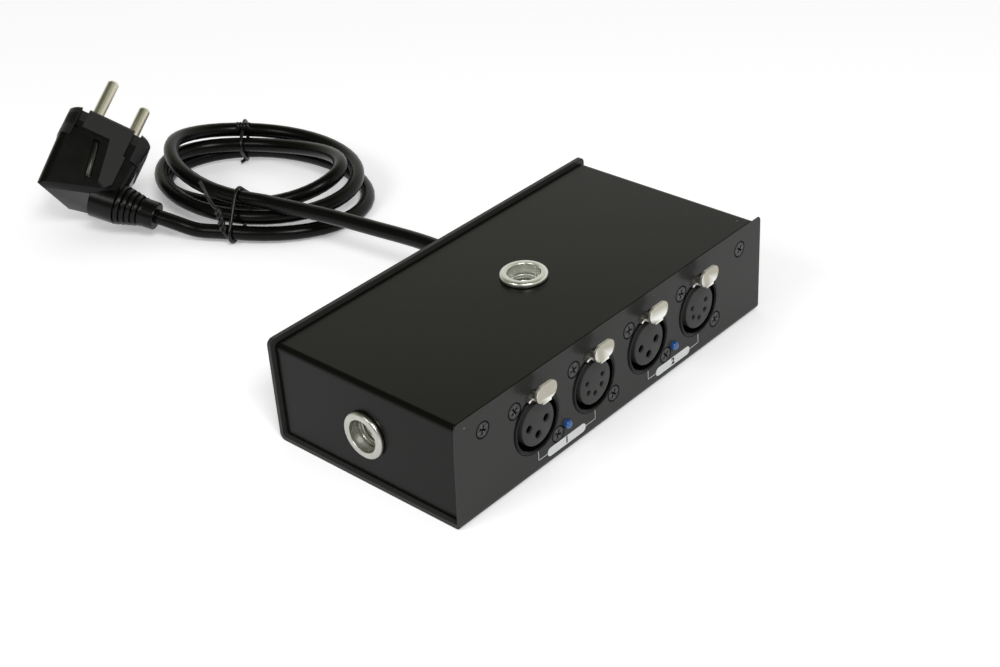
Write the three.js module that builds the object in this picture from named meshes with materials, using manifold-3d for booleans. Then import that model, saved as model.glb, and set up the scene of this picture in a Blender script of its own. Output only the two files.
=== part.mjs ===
// A two-channel splitter for stage lighting data, with its mains lead wound up behind it.
// The case is a bent sheet tray with a bent sheet cover. Four latching output sockets are on the front.
// Millimetres. X runs along the front panel from its left end to its right end, Y towards the rear, Z up.
// The origin is the middle of the underside of the case.
import * as THREE from "three";
import { mergeVertices } from "three/addons/utils/BufferGeometryUtils.js";
import Module from "manifold-3d";

const wasm = await Module();
wasm.setup();

// Driving dimensions of the case
const panelLength = 160;
const caseDepth = 81;
const caseHeight = 38.7;
const traySheet = 1.5;
const trayBendRadius = 2.2;
const panelCornerRadius = 2.2;
const coverSheet = 1.2;
const coverBendRadius = 2;
const lipHeight = 1.6;

// Clearances, and how far a cutting shape runs past what it cuts
const fitGap = 0.3;
const seatGap = 0.1;
const sinkGap = 0.15;
const ringGap = 0.2;
const overrun = 2;

// How finely round shapes are cut into flats
const fineSides = 24;
const roundSides = 16;
const smallSides = 10;
const tinySides = 8;
const arcSteps = 4;

// Flat-headed M3 screws with a cross recess, used for the cover and for every connector
const screw = {
  headRadius: 2.6,
  headHeight: 1.3,
  headRim: 0.3,
  shankRadius: 1.5,
  length: 7,
  recessSpan: 3,
  recessWidth: 0.7,
  recessDepth: 0.8,
};

// Cover flange tabs that the four cover screws are driven into
const coverScrew = { fromEnd: 12.7, fromTop: 8, tabWidth: 14, tabDrop: 6 };
const coverScrewX = panelLength / 2 - coverScrew.fromEnd;
const coverScrewHeight = caseHeight - coverScrew.fromTop;

// Chassis connectors: the same ring, plate and screws for outputs and inputs
const connector = {
  pitch: 28.6,
  height: caseHeight / 2,
  ringRadius: 10.9,
  ringProud: 0.5,
  ringEdge: 0.4,
  barrelDepth: 15,
  slotRadius: 9.6,
  ledgeDepth: 12,
  boreRadius: 8,
  plateSize: 24.4,
  plateCorner: 2,
  plateThickness: 2.6,
  screwOffset: 9.9,
};

// Insert of an output socket, and its contact holes
const insert = {
  proud: 0.5,
  depth: 17,
  contactCircle: 4.1,
  wideHoleRadius: 1.35,
  narrowHoleRadius: 0.85,
  holeDepth: 11,
  tailRadius: 0.6,
  tailLength: 4,
};

// Latch of an output socket: a curved arm in a notch of the ring, a press tab and a cross pin behind
const latch = {
  armInner: 9.95,
  armThickness: 0.8,
  armHalfAngle: 20,
  notchHalfAngle: 24,
  notchInner: 9.5,
  notchDepth: 12.4,
  pivotDepth: 9.6,
  pivotRadius: 1,
  pivotHalfLength: 6.4,
  cheekThickness: 2,
  cheekReach: 2,
  neckWidth: 4,
  tabProud: 4.9,
  tabLength: 9.6,
  tabHeight: 6.1,
  tabCorner: 2.9,
  tabThickness: 0.8,
  tabRise: 13.8,
  hookWidth: 3,
  hookDrop: 0.7,
  hookLength: 1.8,
  hookDepth: 4.5,
  travelDegrees: 6,
};

// Plug contacts of the rear inputs
const input = {
  firstFromMiddle: -46,
  discRadius: 9.1,
  discThickness: 1.8,
  backLength: 4.5,
  widePinRadius: 1.15,
  narrowPinRadius: 0.75,
  pinTipInside: 1,
  tipRound: 0.4,
};

// Indicator lamps between the sockets of each pair
const lamp = {
  belowConnector: 8.25,
  radius: 1.5,
  proud: 2.2,
  bodyDepth: 5,
  collarRadius: 1.9,
  collarThickness: 1,
  leadWidth: 0.5,
  leadSpread: 0.8,
};
const lampHeight = connector.height - lamp.belowConnector;

// Rivet nuts that a clamp or bolt screws into, one in the top and one in the left end
const nut = {
  topX: 1,
  topY: 1.2,
  sideY: -0.3,
  sideBelowMiddle: 1.1,
  flangeRadius: 8.35,
  flangeThickness: 1.8,
  flangeEdge: 0.35,
  neckRadius: 6.5,
  bulgeRadius: 7.6,
  bulgeLength: 4.5,
  bodyRadius: 6.3,
  length: 16.5,
  mouthRadius: 5.8,
  mouthDepth: 1.9,
  mouthCone: 2.4,
  threadRadius: 4.4,
};
const sideNutHeight = caseHeight / 2 - nut.sideBelowMiddle;

// Mains lead: the cord, its bush in the rear panel, and where it leaves
const cordDiameter = 6;
const cordExitX = 22;
const cordExitBelowMiddle = 0.65;
const cordExitHeight = caseHeight / 2 - cordExitBelowMiddle;
const bush = {
  headRadius: 7,
  headLength: 6,
  headEdge: 1,
  tipRadius: 4.4,
  neckRadius: 6,
  nutRadius: 7.4,
  nutLength: 3,
  tailLength: 6,
};

// Circuit boards and what stands on them
const board = {
  thickness: 1.6,
  outputLength: 118,
  inputLength: 58,
  uprightTopGap: 4.4,
  uprightFoot: 4.5,
  powerLength: 62,
  powerWidth: 42,
  powerFromEnd: 6,
  powerY: 10,
  powerHeight: 6,
  chipLength: 10,
  chipWidth: 7.5,
  chipThickness: 2,
  standoffRadius: 2.6,
  postSink: 0.2,
  cornerInset: 4,
};
const uprightHeight = caseHeight - lipHeight - coverSheet - board.uprightTopGap - board.uprightFoot;
const powerX = panelLength / 2 - board.powerFromEnd - board.powerLength / 2;
const transformer = { length: 33, width: 28, height: 19, edge: 1.2, fromBoardMiddle: 11 };
const capacitor = { radius: 5, height: 12.5, fromBoardMiddle: -18, aside: 8 };
const fuseHolder = { length: 18, width: 8, height: 8, fromBoardMiddle: -18, aside: -8 };
const ribbon = { width: 12, thickness: 0.9, x: -30, height: 8 };

// Coil of the mains lead: an oval with its long axis turned, and three loops pressed out of line
const coil = {
  centreX: 33.5,
  centreY: 177.3,
  longRadius: 44.4,
  shortRadius: 30.5,
  longAxisDegrees: 103.2,
  startDegrees: 106.4,
  turns: 3,
  stepsPerTurn: 24,
  sides: 6,
};
// How far out of the oval, and how high, the cord lies at each quarter turn, in cord diameters
const laneShares = [-0.15, -1.0, 0.8, 0.17, 0.35, -0.22, -0.75, -0.88, -1.7, -0.23, 0.12, 0.83, 1.35];
const layerShares = [2.63, 3.34, 2.04, 1.88, 1.46, 1.8, 1.71, 2.75, 1.27, 0.66, 0.82, 0.51, 0.79];

// Free stretch of the cord from the case to the coil, between its straight ends
const leadRoute = [
  [21.6, 72, 18.4],
  [20, 92, 17.6],
  [17.3, 117, 16.8],
  [14, 136, 16.2],
];

// Wire ties round the coil
const tie = {
  halfWidth: 0.8,
  halfThickness: 0.45,
  gap: 0.5,
  sides: 6,
  steps: 24,
  frontTurn: 0,
  rearTurn: 0.455,
  knotRadius: 1.4,
  knotLength: 2,
};

// Angled mains plug with two pins and side earth contacts, moulded onto the cord
const plug = {
  faceX: -6.3,
  faceY: 216.6,
  faceHeight: 33.7,
  pinHeadingDegrees: 15.6,
  pinLiftDegrees: 32.5,
  rollDegrees: -106.4,
  pinRadius: 2.4,
  pinLength: 19,
  pinSpacing: 19,
  pinSeatDepth: 3,
  bodyTurnDegrees: -37,
  headHalfWidth: 19.3,
  headHalfThickness: 15.5,
  headCorner: 9.5,
  headDepth: 7,
  headEdge: 1,
  bodySink: 1,
  bodyDepth: 35.5,
  backEdge: 2.4,
  earInside: 12.6,
  earDepth: 12,
  gapWidth: 3.6,
  gapDepth: 3.2,
  earthRecessWidth: 13,
  earthRecessDepth: 3.2,
  earthRecessStart: 6.5,
  earthRecessLength: 19.5,
  ribWidth: 2.6,
  earthClipWidth: 3.6,
  earthClipThickness: 0.8,
  earthClipLength: 16,
  earthClipBow: 1.4,
  bootDegrees: -55.5,
  bootDepth: 27.6,
  bootStart: 10,
  bootRibsFrom: 15,
  bootRibsTo: 25,
  bootEnd: 32.5,
  bootRootRadius: 7.8,
  bootTipRadius: 5.1,
  bootTipEdge: 0.8,
  bootRibs: 5,
  bootRibDepth: 0.8,
};

// Colours of the finished pieces
const paint = { color: 0x1b1b1a, roughness: 0.42, metalness: 0.1 };
const blackPlastic = { color: 0x101010, roughness: 0.5, metalness: 0 };
const greyPlastic = { color: 0x2b2b2b, roughness: 0.6, metalness: 0 };
const zinc = { color: 0xb9b8ae, roughness: 0.35, metalness: 0.9 };
const tabMetal = { color: 0xd2d0c8, roughness: 0.4, metalness: 0.8 };
const blackSteel = { color: 0x151515, roughness: 0.4, metalness: 0.6 };
const blueLens = { color: 0x2f6fd8, roughness: 0.2, metalness: 0 };
const fibreglass = { color: 0x1f5a32, roughness: 0.5, metalness: 0 };
const cordRubber = { color: 0x121212, roughness: 0.4, metalness: 0 };
const plugRubber = { color: 0x161616, roughness: 0.5, metalness: 0 };
const nickel = { color: 0xcfcabb, roughness: 0.3, metalness: 0.9 };
const steelCore = { color: 0x3a3a3c, roughness: 0.6, metalness: 0.5 };
const ribbonGrey = { color: 0x77777a, roughness: 0.6, metalness: 0 };

const radians = THREE.MathUtils.degToRad;
const part = new THREE.Group();

// A closed three.js geometry as a solid that can be joined and cut
function solidOf(geometry) {
  const bare = geometry.index ? geometry.toNonIndexed() : geometry.clone();
  const points = new THREE.BufferGeometry();
  points.setAttribute("position", bare.getAttribute("position"));
  const merged = mergeVertices(points, 1e-4);
  const mesh = new wasm.Mesh({
    numProp: 3,
    vertProperties: new Float32Array(merged.getAttribute("position").array),
    triVerts: new Uint32Array(merged.index.array),
  });
  return new wasm.Manifold(mesh);
}

// A solid back as a three.js geometry
function geometryOf(solid) {
  const mesh = solid.getMesh();
  const geometry = new THREE.BufferGeometry();
  geometry.setAttribute("position", new THREE.BufferAttribute(new Float32Array(mesh.vertProperties), 3));
  geometry.setIndex(new THREE.BufferAttribute(new Uint32Array(mesh.triVerts), 1));
  const flat = geometry.toNonIndexed();
  flat.computeVertexNormals();
  return flat;
}

function join(...geometries) {
  return geometryOf(geometries.map(solidOf).reduce((a, b) => a.add(b)));
}

function cut(geometry, ...tools) {
  return geometryOf(tools.map(solidOf).reduce((a, b) => a.subtract(b), solidOf(geometry)));
}

function common(a, b) {
  return geometryOf(solidOf(a).intersect(solidOf(b)));
}

// A block from one corner to the other
function block(x0, x1, y0, y1, z0, z1) {
  const geometry = new THREE.BoxGeometry(x1 - x0, y1 - y0, z1 - z0);
  return geometry.translate((x0 + x1) / 2, (y0 + y1) / 2, (z0 + z1) / 2);
}

// A round bar along Z, X or Y, between two places on its axis
function barZ(radius, z0, z1, x = 0, y = 0, sides = roundSides) {
  const geometry = new THREE.CylinderGeometry(radius, radius, z1 - z0, sides);
  return geometry.rotateX(Math.PI / 2).translate(x, y, (z0 + z1) / 2);
}

function barX(radius, x0, x1, y = 0, z = 0, sides = roundSides) {
  const geometry = new THREE.CylinderGeometry(radius, radius, x1 - x0, sides);
  return geometry.rotateZ(Math.PI / 2).translate((x0 + x1) / 2, y, z);
}

function barY(radius, y0, y1, x = 0, z = 0, sides = roundSides) {
  const geometry = new THREE.CylinderGeometry(radius, radius, y1 - y0, sides);
  return geometry.translate(x, (y0 + y1) / 2, z);
}

// A shape turned round Z from [radius, height] pairs
function turned(pairs, sides = roundSides) {
  const points = pairs.map(([r, z]) => new THREE.Vector2(r, z));
  return new THREE.LatheGeometry(points, sides).rotateX(Math.PI / 2);
}

// A flat shape drawn out along Z from z0 to z1
function drawn(shape, z0, z1, curveSegments = arcSteps) {
  const geometry = new THREE.ExtrudeGeometry(shape, { depth: z1 - z0, bevelEnabled: false, curveSegments });
  return geometry.translate(0, 0, z0);
}

function roundedRectangle(x0, x1, y0, y1, radius) {
  const shape = new THREE.Shape();
  shape.moveTo(x0 + radius, y0);
  shape.lineTo(x1 - radius, y0);
  shape.absarc(x1 - radius, y0 + radius, radius, -Math.PI / 2, 0);
  shape.lineTo(x1, y1 - radius);
  shape.absarc(x1 - radius, y1 - radius, radius, 0, Math.PI / 2);
  shape.lineTo(x0 + radius, y1);
  shape.absarc(x0 + radius, y1 - radius, radius, Math.PI / 2, Math.PI);
  shape.lineTo(x0, y0 + radius);
  shape.absarc(x0 + radius, y0 + radius, radius, Math.PI, 1.5 * Math.PI);
  return shape;
}

// A closed body through rounded rectangles at rising heights: [half width, half thickness, corner, height]
function lofted(sections) {
  const positions = [];
  const faces = [];
  let count = 0;
  for (const [halfX, halfY, corner, z] of sections) {
    const ring = [];
    for (const [cornerX, cornerY, quarter] of [[1, -1, -1], [1, 1, 0], [-1, 1, 1], [-1, -1, 2]]) {
      for (let step = 0; step <= arcSteps; step += 1) {
        const angle = (quarter + step / arcSteps) * (Math.PI / 2);
        ring.push([cornerX * (halfX - corner) + corner * Math.cos(angle),
          cornerY * (halfY - corner) + corner * Math.sin(angle)]);
      }
    }
    count = ring.length;
    ring.forEach(([x, y]) => positions.push(x, y, z));
  }
  for (let level = 0; level < sections.length - 1; level += 1) {
    for (let index = 0; index < count; index += 1) {
      const next = (index + 1) % count;
      const a = level * count + index;
      const b = level * count + next;
      faces.push(a, b, b + count, a, b + count, a + count);
    }
  }
  const top = (sections.length - 1) * count;
  for (let index = 1; index < count - 1; index += 1) {
    faces.push(0, index + 1, index, top, top + index, top + index + 1);
  }
  const geometry = new THREE.BufferGeometry();
  geometry.setAttribute("position", new THREE.Float32BufferAttribute(positions, 3));
  geometry.setIndex(faces);
  return geometry;
}

// Turns a drawing of the X-Z plane, drawn out along Z, so that it runs along Y instead
function standUp(geometry) {
  return geometry.rotateX(Math.PI / 2);
}

// Turns a drawing of the Y-Z plane, drawn out along Z, so that it runs along X instead
function layAlongX(geometry) {
  return geometry.rotateX(Math.PI / 2).rotateZ(Math.PI / 2);
}

function add(name, geometry, look, parent = part) {
  const mesh = new THREE.Mesh(geometry, new THREE.MeshStandardMaterial(look));
  mesh.name = name;
  parent.add(mesh);
  return mesh;
}

// A group whose X runs along the panel, Y up and Z out of the panel, set on the front or the rear panel
function panelPlace(x, height, onRear = false) {
  const place = new THREE.Group();
  place.rotation.set(Math.PI / 2, 0, onRear ? Math.PI : 0, "ZYX");
  place.position.set(x, (onRear ? 1 : -1) * (caseDepth / 2), height);
  part.add(place);
  return place;
}

const panelInside = caseDepth / 2 - traySheet;
const holeRadius = screw.shankRadius + fitGap;
const socketX = [-1.5, -0.5, 0.5, 1.5].map((share) => share * connector.pitch);
const inputX = [0, 1].map((count) => input.firstFromMiddle + count * connector.pitch);
const screwCorners = [-1, 1].map((side) => [side * connector.screwOffset, -side * connector.screwOffset]);
const frontBoardY = -(caseDepth / 2 - insert.depth - insert.tailLength);
const rearBoardY = caseDepth / 2 - connector.ledgeDepth - input.backLength - insert.tailLength;

// Countersink for the flat screws, as a cutting shape with the panel face at Z zero
function countersink(x, y) {
  const wide = screw.headRadius + sinkGap;
  const slope = screw.headHeight - screw.headRim;
  const bottom = -screw.headRim - slope * ((wide - holeRadius) / (screw.headRadius - screw.shankRadius));
  const cone = turned([[0, bottom], [holeRadius, bottom], [wide, -screw.headRim], [wide, overrun], [0, overrun]], smallSides);
  return join(cone.translate(x, y, 0), barZ(holeRadius, -traySheet - overrun, overrun, x, y, smallSides));
}

// Notch for a latch: a sector of the ring, open at the top of the connector
function notchSector(innerRadius, outerRadius, halfAngle) {
  const shape = new THREE.Shape();
  const from = Math.PI / 2 - radians(halfAngle);
  const to = Math.PI / 2 + radians(halfAngle);
  shape.absarc(0, 0, outerRadius, from, to, false);
  shape.absarc(0, 0, innerRadius, to, from, true);
  shape.closePath();
  return shape;
}

// The tray: front panel, floor and rear panel bent from one sheet
function trayGeometry() {
  const half = caseDepth / 2;
  const inner = trayBendRadius - traySheet;
  const section = new THREE.Shape();
  section.moveTo(-half, caseHeight);
  section.lineTo(-half, trayBendRadius);
  section.absarc(-half + trayBendRadius, trayBendRadius, trayBendRadius, Math.PI, 1.5 * Math.PI);
  section.lineTo(half - trayBendRadius, 0);
  section.absarc(half - trayBendRadius, trayBendRadius, trayBendRadius, 1.5 * Math.PI, 2 * Math.PI);
  section.lineTo(half, caseHeight);
  section.lineTo(panelInside, caseHeight);
  section.lineTo(panelInside, trayBendRadius);
  section.absarc(half - trayBendRadius, trayBendRadius, inner, 0, -Math.PI / 2, true);
  section.lineTo(-half + trayBendRadius, traySheet);
  section.absarc(-half + trayBendRadius, trayBendRadius, inner, -Math.PI / 2, -Math.PI, true);
  const sheet = layAlongX(drawn(section, -panelLength / 2, panelLength / 2));
  const below = -overrun - panelCornerRadius;
  const outline = roundedRectangle(-panelLength / 2, panelLength / 2, below, caseHeight, panelCornerRadius);
  const panels = standUp(drawn(outline, -half - overrun, half + overrun));
  const flat = half - trayBendRadius;
  const middle = block(-panelLength, panelLength, -flat, flat, -overrun, caseHeight + overrun);
  let tray = common(sheet, join(panels, middle));

  const openings = [];
  const through = [-traySheet - overrun, overrun];
  for (const x of socketX) {
    const notchTop = latch.armInner + latch.armThickness + overrun;
    const opening = barZ(connector.ringRadius + ringGap, ...through, 0, 0, fineSides);
    const notch = drawn(notchSector(latch.notchInner, notchTop, latch.notchHalfAngle), ...through);
    const sinks = screwCorners.map(([sx, sy]) => countersink(sx, sy));
    openings.push(join(opening, notch, ...sinks).rotateX(Math.PI / 2).translate(x, -half, connector.height));
  }
  for (const x of inputX) {
    const opening = barZ(connector.ringRadius + ringGap, ...through, 0, 0, fineSides);
    const sinks = screwCorners.map(([sx, sy]) => countersink(sx, sy));
    const tool = join(opening, ...sinks).rotateX(Math.PI / 2).rotateZ(Math.PI);
    openings.push(tool.translate(x, half, connector.height));
  }
  for (const side of [-1, 1]) {
    const lampHole = barZ(lamp.radius + ringGap, ...through);
    openings.push(lampHole.rotateX(Math.PI / 2).translate(side * connector.pitch, -half, lampHeight));
    const x = side * coverScrewX;
    openings.push(countersink(0, 0).rotateX(Math.PI / 2).translate(x, -half, coverScrewHeight));
    openings.push(countersink(0, 0).rotateX(-Math.PI / 2).translate(x, half, coverScrewHeight));
  }
  openings.push(barY(bush.neckRadius + fitGap, half - traySheet - overrun, half + overrun, cordExitX, cordExitHeight));
  tray = cut(tray, ...openings);

  const posts = [];
  const postTop = board.powerHeight - seatGap;
  for (const sideX of [-1, 1]) {
    for (const sideY of [-1, 1]) {
      const x = powerX + sideX * (board.powerLength / 2 - board.cornerInset);
      const y = board.powerY + sideY * (board.powerWidth / 2 - board.cornerInset);
      posts.push(barZ(board.standoffRadius, traySheet - board.postSink, postTop, x, y, smallSides));
    }
  }
  return join(tray, ...posts);
}

// The cover: top and two ends bent from one sheet, with four tabs behind the panels for its screws
function coverGeometry() {
  const halfX = panelLength / 2 - lipHeight;
  const top = caseHeight - lipHeight;
  const foot = traySheet + fitGap;
  const halfY = panelInside - fitGap;
  const inner = coverBendRadius - coverSheet;
  const section = new THREE.Shape();
  section.moveTo(-halfX, foot);
  section.lineTo(-halfX + coverSheet, foot);
  section.lineTo(-halfX + coverSheet, top - coverBendRadius);
  section.absarc(-halfX + coverBendRadius, top - coverBendRadius, inner, Math.PI, Math.PI / 2, true);
  section.lineTo(halfX - coverBendRadius, top - coverSheet);
  section.absarc(halfX - coverBendRadius, top - coverBendRadius, inner, Math.PI / 2, 0, true);
  section.lineTo(halfX - coverSheet, foot);
  section.lineTo(halfX, foot);
  section.lineTo(halfX, top - coverBendRadius);
  section.absarc(halfX - coverBendRadius, top - coverBendRadius, coverBendRadius, 0, Math.PI / 2);
  section.lineTo(-halfX + coverBendRadius, top);
  section.absarc(-halfX + coverBendRadius, top - coverBendRadius, coverBendRadius, Math.PI / 2, Math.PI);
  const pieces = [standUp(drawn(section, -halfY, halfY))];
  const holes = [];
  for (const sideX of [-1, 1]) {
    for (const sideY of [-1, 1]) {
      const x = sideX * coverScrewX;
      const faces = [sideY * halfY, sideY * (halfY - coverSheet)].sort((a, b) => a - b);
      const halfTab = coverScrew.tabWidth / 2;
      const low = coverScrewHeight - coverScrew.tabDrop;
      pieces.push(block(x - halfTab, x + halfTab, ...faces, low, top - coverSheet / 2));
      const run = [sideY * (halfY + overrun), sideY * (halfY - coverSheet - overrun)].sort((a, b) => a - b);
      holes.push(barY(holeRadius, ...run, x, coverScrewHeight));
    }
  }
  const nutHole = nut.neckRadius + fitGap;
  holes.push(barZ(nutHole, top - coverSheet - overrun, top + overrun, nut.topX, nut.topY, fineSides));
  holes.push(barX(nutHole, -halfX - overrun, -halfX + coverSheet + overrun, nut.sideY, sideNutHeight, fineSides));
  return cut(join(...pieces), ...holes);
}

// A rivet nut with the outside of the sheet at Z zero and its flange above it
function nutGeometry() {
  const top = seatGap + nut.flangeThickness;
  const bulgeTop = -coverSheet - seatGap;
  const bulgeFoot = bulgeTop - nut.bulgeLength;
  const foot = top - nut.length;
  const coneFoot = top - nut.mouthDepth - nut.mouthCone;
  const profile = [
    [nut.mouthRadius, top],
    [nut.mouthRadius, top - nut.mouthDepth],
    [nut.threadRadius, coneFoot],
    [nut.threadRadius, foot],
    [nut.bodyRadius, foot],
    [nut.bodyRadius, bulgeFoot - (nut.bulgeRadius - nut.bodyRadius)],
    [nut.bulgeRadius, bulgeFoot],
    [nut.bulgeRadius, bulgeTop],
    [nut.neckRadius, bulgeTop],
    [nut.neckRadius, seatGap],
    [nut.flangeRadius, seatGap],
    [nut.flangeRadius, top - nut.flangeEdge],
    [nut.flangeRadius - nut.flangeEdge, top],
    [nut.mouthRadius, top],
  ];
  return turned(profile, fineSides);
}

// A flat-headed screw with its head flush with Z zero
function screwGeometry() {
  const slopeFoot = -screw.headHeight;
  const body = turned([
    [0, -screw.length],
    [screw.shankRadius, -screw.length],
    [screw.shankRadius, slopeFoot],
    [screw.headRadius, -screw.headRim],
    [screw.headRadius, 0],
    [0, 0],
  ], tinySides);
  const long = screw.recessSpan / 2;
  const thin = screw.recessWidth / 2;
  const recess = join(
    block(-long, long, -thin, thin, -screw.recessDepth, overrun),
    block(-thin, thin, -long, long, -screw.recessDepth, overrun),
  );
  return cut(body, recess);
}

// The ring, plate and barrel that every connector has, with the panel face at Z zero
function housingGeometry(latched) {
  const back = -connector.barrelDepth;
  const bore = connector.boreRadius + fitGap;
  const ring = turned([
    [bore, -connector.ledgeDepth],
    [bore, back],
    [connector.ringRadius, back],
    [connector.ringRadius, connector.ringProud - connector.ringEdge],
    [connector.ringRadius - connector.ringEdge, connector.ringProud],
    [connector.slotRadius + connector.ringEdge, connector.ringProud],
    [connector.slotRadius, connector.ringProud - connector.ringEdge],
    [connector.slotRadius, -connector.ledgeDepth],
    [bore, -connector.ledgeDepth],
  ], fineSides);
  const half = connector.plateSize / 2;
  const front = -traySheet - seatGap;
  const outline = roundedRectangle(-half, half, -half, half, connector.plateCorner);
  const blank = drawn(outline, front - connector.plateThickness, front);
  const middle = (connector.slotRadius + connector.ringRadius) / 2;
  const plate = cut(blank, barZ(middle, front - connector.plateThickness - overrun, front + overrun, 0, 0, fineSides));
  const pieces = [ring, plate];
  const holes = screwCorners.map(([x, y]) =>
    barZ(holeRadius, front - connector.plateThickness - overrun, front + overrun, x, y, smallSides));
  if (latched) {
    const armTop = latch.armInner + latch.armThickness;
    const pinY = armTop - latch.pivotRadius;
    const inside = armTop * Math.sin(radians(latch.notchHalfAngle)) - fitGap;
    const reach = latch.pivotRadius + latch.cheekReach;
    for (const side of [-1, 1]) {
      const faces = [side * inside, side * (inside + latch.cheekThickness)].sort((a, b) => a - b);
      const low = connector.slotRadius * Math.cos(radians(latch.notchHalfAngle));
      pieces.push(block(...faces, low, pinY + reach, -latch.pivotDepth - reach, front - connector.plateThickness / 2));
    }
    const pinHole = latch.pivotHalfLength + overrun;
    const notchTop = connector.plateSize;
    const sector = notchSector(latch.notchInner, notchTop, latch.notchHalfAngle);
    const notch = drawn(sector, -latch.notchDepth + overrun / 2, connector.ringProud + overrun);
    const free = block(-inside, inside, latch.armInner - fitGap, notchTop, -latch.notchDepth, front);
    holes.push(notch, free, barX(latch.pivotRadius + fitGap, -pinHole, pinHole, pinY, -latch.pivotDepth, smallSides));
  }
  return cut(join(...pieces), ...holes);
}

// Where the contacts lie round the axis: three a right angle apart, or five with the gap on top
function contactPlaces(count) {
  const stepDegrees = count === 3 ? 90 : 54;
  const places = [];
  for (let index = 0; index < count; index += 1) {
    const angle = radians(-90 + (index - (count - 1) / 2) * stepDegrees);
    places.push([insert.contactCircle * Math.cos(angle), insert.contactCircle * Math.sin(angle)]);
  }
  return places;
}

// The insert of an output socket: a cylinder with blind contact holes and solder tails behind
function insertGeometry(count) {
  const radius = count === 3 ? insert.wideHoleRadius : insert.narrowHoleRadius;
  const edge = connector.ringEdge;
  const face = insert.proud;
  const bodyRadius = connector.boreRadius - fitGap;
  const body = turned([
    [0, -insert.depth],
    [bodyRadius, -insert.depth],
    [bodyRadius, face - edge],
    [bodyRadius - edge, face],
    [0, face],
  ], fineSides);
  const tails = [];
  const holes = [];
  for (const [x, y] of contactPlaces(count)) {
    tails.push(barZ(insert.tailRadius, -insert.depth - insert.tailLength + seatGap, -insert.holeDepth - overrun, x, y, 6));
    holes.push(barZ(radius, face - insert.holeDepth, face + overrun, x, y, tinySides));
  }
  return cut(join(body, ...tails), ...holes);
}

// The plug contacts of an input, on a disc that seats on the ledge of the ring
function inputContactsGeometry(count) {
  const seat = -connector.ledgeDepth + seatGap;
  const front = seat + input.discThickness;
  const back = -connector.ledgeDepth - input.backLength;
  const radius = count === 3 ? input.widePinRadius : input.narrowPinRadius;
  const tip = connector.ringProud - input.pinTipInside;
  const body = turned([
    [0, back],
    [connector.boreRadius - fitGap, back],
    [connector.boreRadius - fitGap, seat],
    [input.discRadius, seat],
    [input.discRadius, front],
    [0, front],
  ], fineSides);
  const pins = [];
  for (const [x, y] of contactPlaces(count)) {
    const pin = turned([
      [0, seat],
      [radius, seat],
      [radius, tip - input.tipRound],
      [radius - input.tipRound, tip],
      [0, tip],
    ], tinySides);
    pins.push(pin.translate(x, y, 0));
    pins.push(barZ(insert.tailRadius, back - insert.tailLength + seatGap, back + overrun, x, y, 6));
  }
  return join(body, ...pins);
}

// The latch lever of an output socket
function latchGeometry() {
  const inner = latch.armInner;
  const outer = latch.armInner + latch.armThickness;
  const pinY = outer - latch.pivotRadius;
  const arm = drawn(notchSector(inner, outer, latch.armHalfAngle), -latch.pivotDepth, connector.ringProud);
  const pin = barX(latch.pivotRadius, -latch.pivotHalfLength, latch.pivotHalfLength, pinY, -latch.pivotDepth, smallSides);
  const half = latch.neckWidth / 2;
  const tabBack = latch.tabProud - latch.tabThickness;
  const neck = block(-half, half, inner, outer, connector.ringProud - latch.armThickness, latch.tabProud);
  const halfX = latch.tabLength / 2;
  const low = latch.tabRise - latch.tabHeight / 2;
  const high = latch.tabRise + latch.tabHeight / 2;
  const tab = drawn(roundedRectangle(-halfX, halfX, low, high, latch.tabCorner), tabBack, latch.tabProud);
  const stem = block(-half, half, inner, low + latch.tabCorner / 2, tabBack, latch.tabProud);
  const hookHalf = latch.hookWidth / 2;
  const hookFoot = connector.slotRadius - latch.hookDrop;
  const hook = block(-hookHalf, hookHalf, hookFoot, inner + latch.armThickness / 2,
    -latch.hookDepth - latch.hookLength, -latch.hookDepth);
  return join(arm, pin, neck, stem, tab, hook);
}

// An indicator lamp with its two wires bent straight back to the output board
function lampGeometry() {
  const collarFront = -traySheet - seatGap;
  const dome = [];
  for (let step = 0; step <= arcSteps; step += 1) {
    const angle = (step / arcSteps) * (Math.PI / 2);
    dome.push([lamp.radius * Math.cos(angle), lamp.proud - lamp.radius + lamp.radius * Math.sin(angle)]);
  }
  const body = turned([
    [0, -lamp.bodyDepth],
    [lamp.radius, -lamp.bodyDepth],
    [lamp.radius, collarFront - lamp.collarThickness],
    [lamp.collarRadius, collarFront - lamp.collarThickness],
    [lamp.collarRadius, collarFront],
    [lamp.radius, collarFront],
    ...dome,
  ], smallSides);
  const half = lamp.leadWidth / 2;
  const boardFace = -(insert.depth + insert.tailLength) + seatGap;
  const wires = [-lamp.leadSpread, lamp.leadSpread].map((x) =>
    block(x - half, x + half, -half, half, boardFace, -lamp.bodyDepth + overrun / 2));
  return join(body, ...wires);
}

// The bush that grips the cord in the rear panel, with the outside of the panel at Z zero
function bushGeometry() {
  const back = -traySheet - seatGap;
  const nutBack = back - bush.nutLength;
  return turned([
    [0, nutBack - bush.tailLength],
    [cordDiameter / 2, nutBack - bush.tailLength],
    [cordDiameter / 2, nutBack],
    [bush.nutRadius, nutBack],
    [bush.nutRadius, back],
    [bush.neckRadius, back],
    [bush.neckRadius, seatGap],
    [bush.headRadius, seatGap],
    [bush.headRadius, bush.headEdge],
    [bush.headRadius - bush.headEdge, 2 * bush.headEdge],
    [bush.tipRadius, bush.headLength],
    [0, bush.headLength],
  ], smallSides);
}

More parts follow.
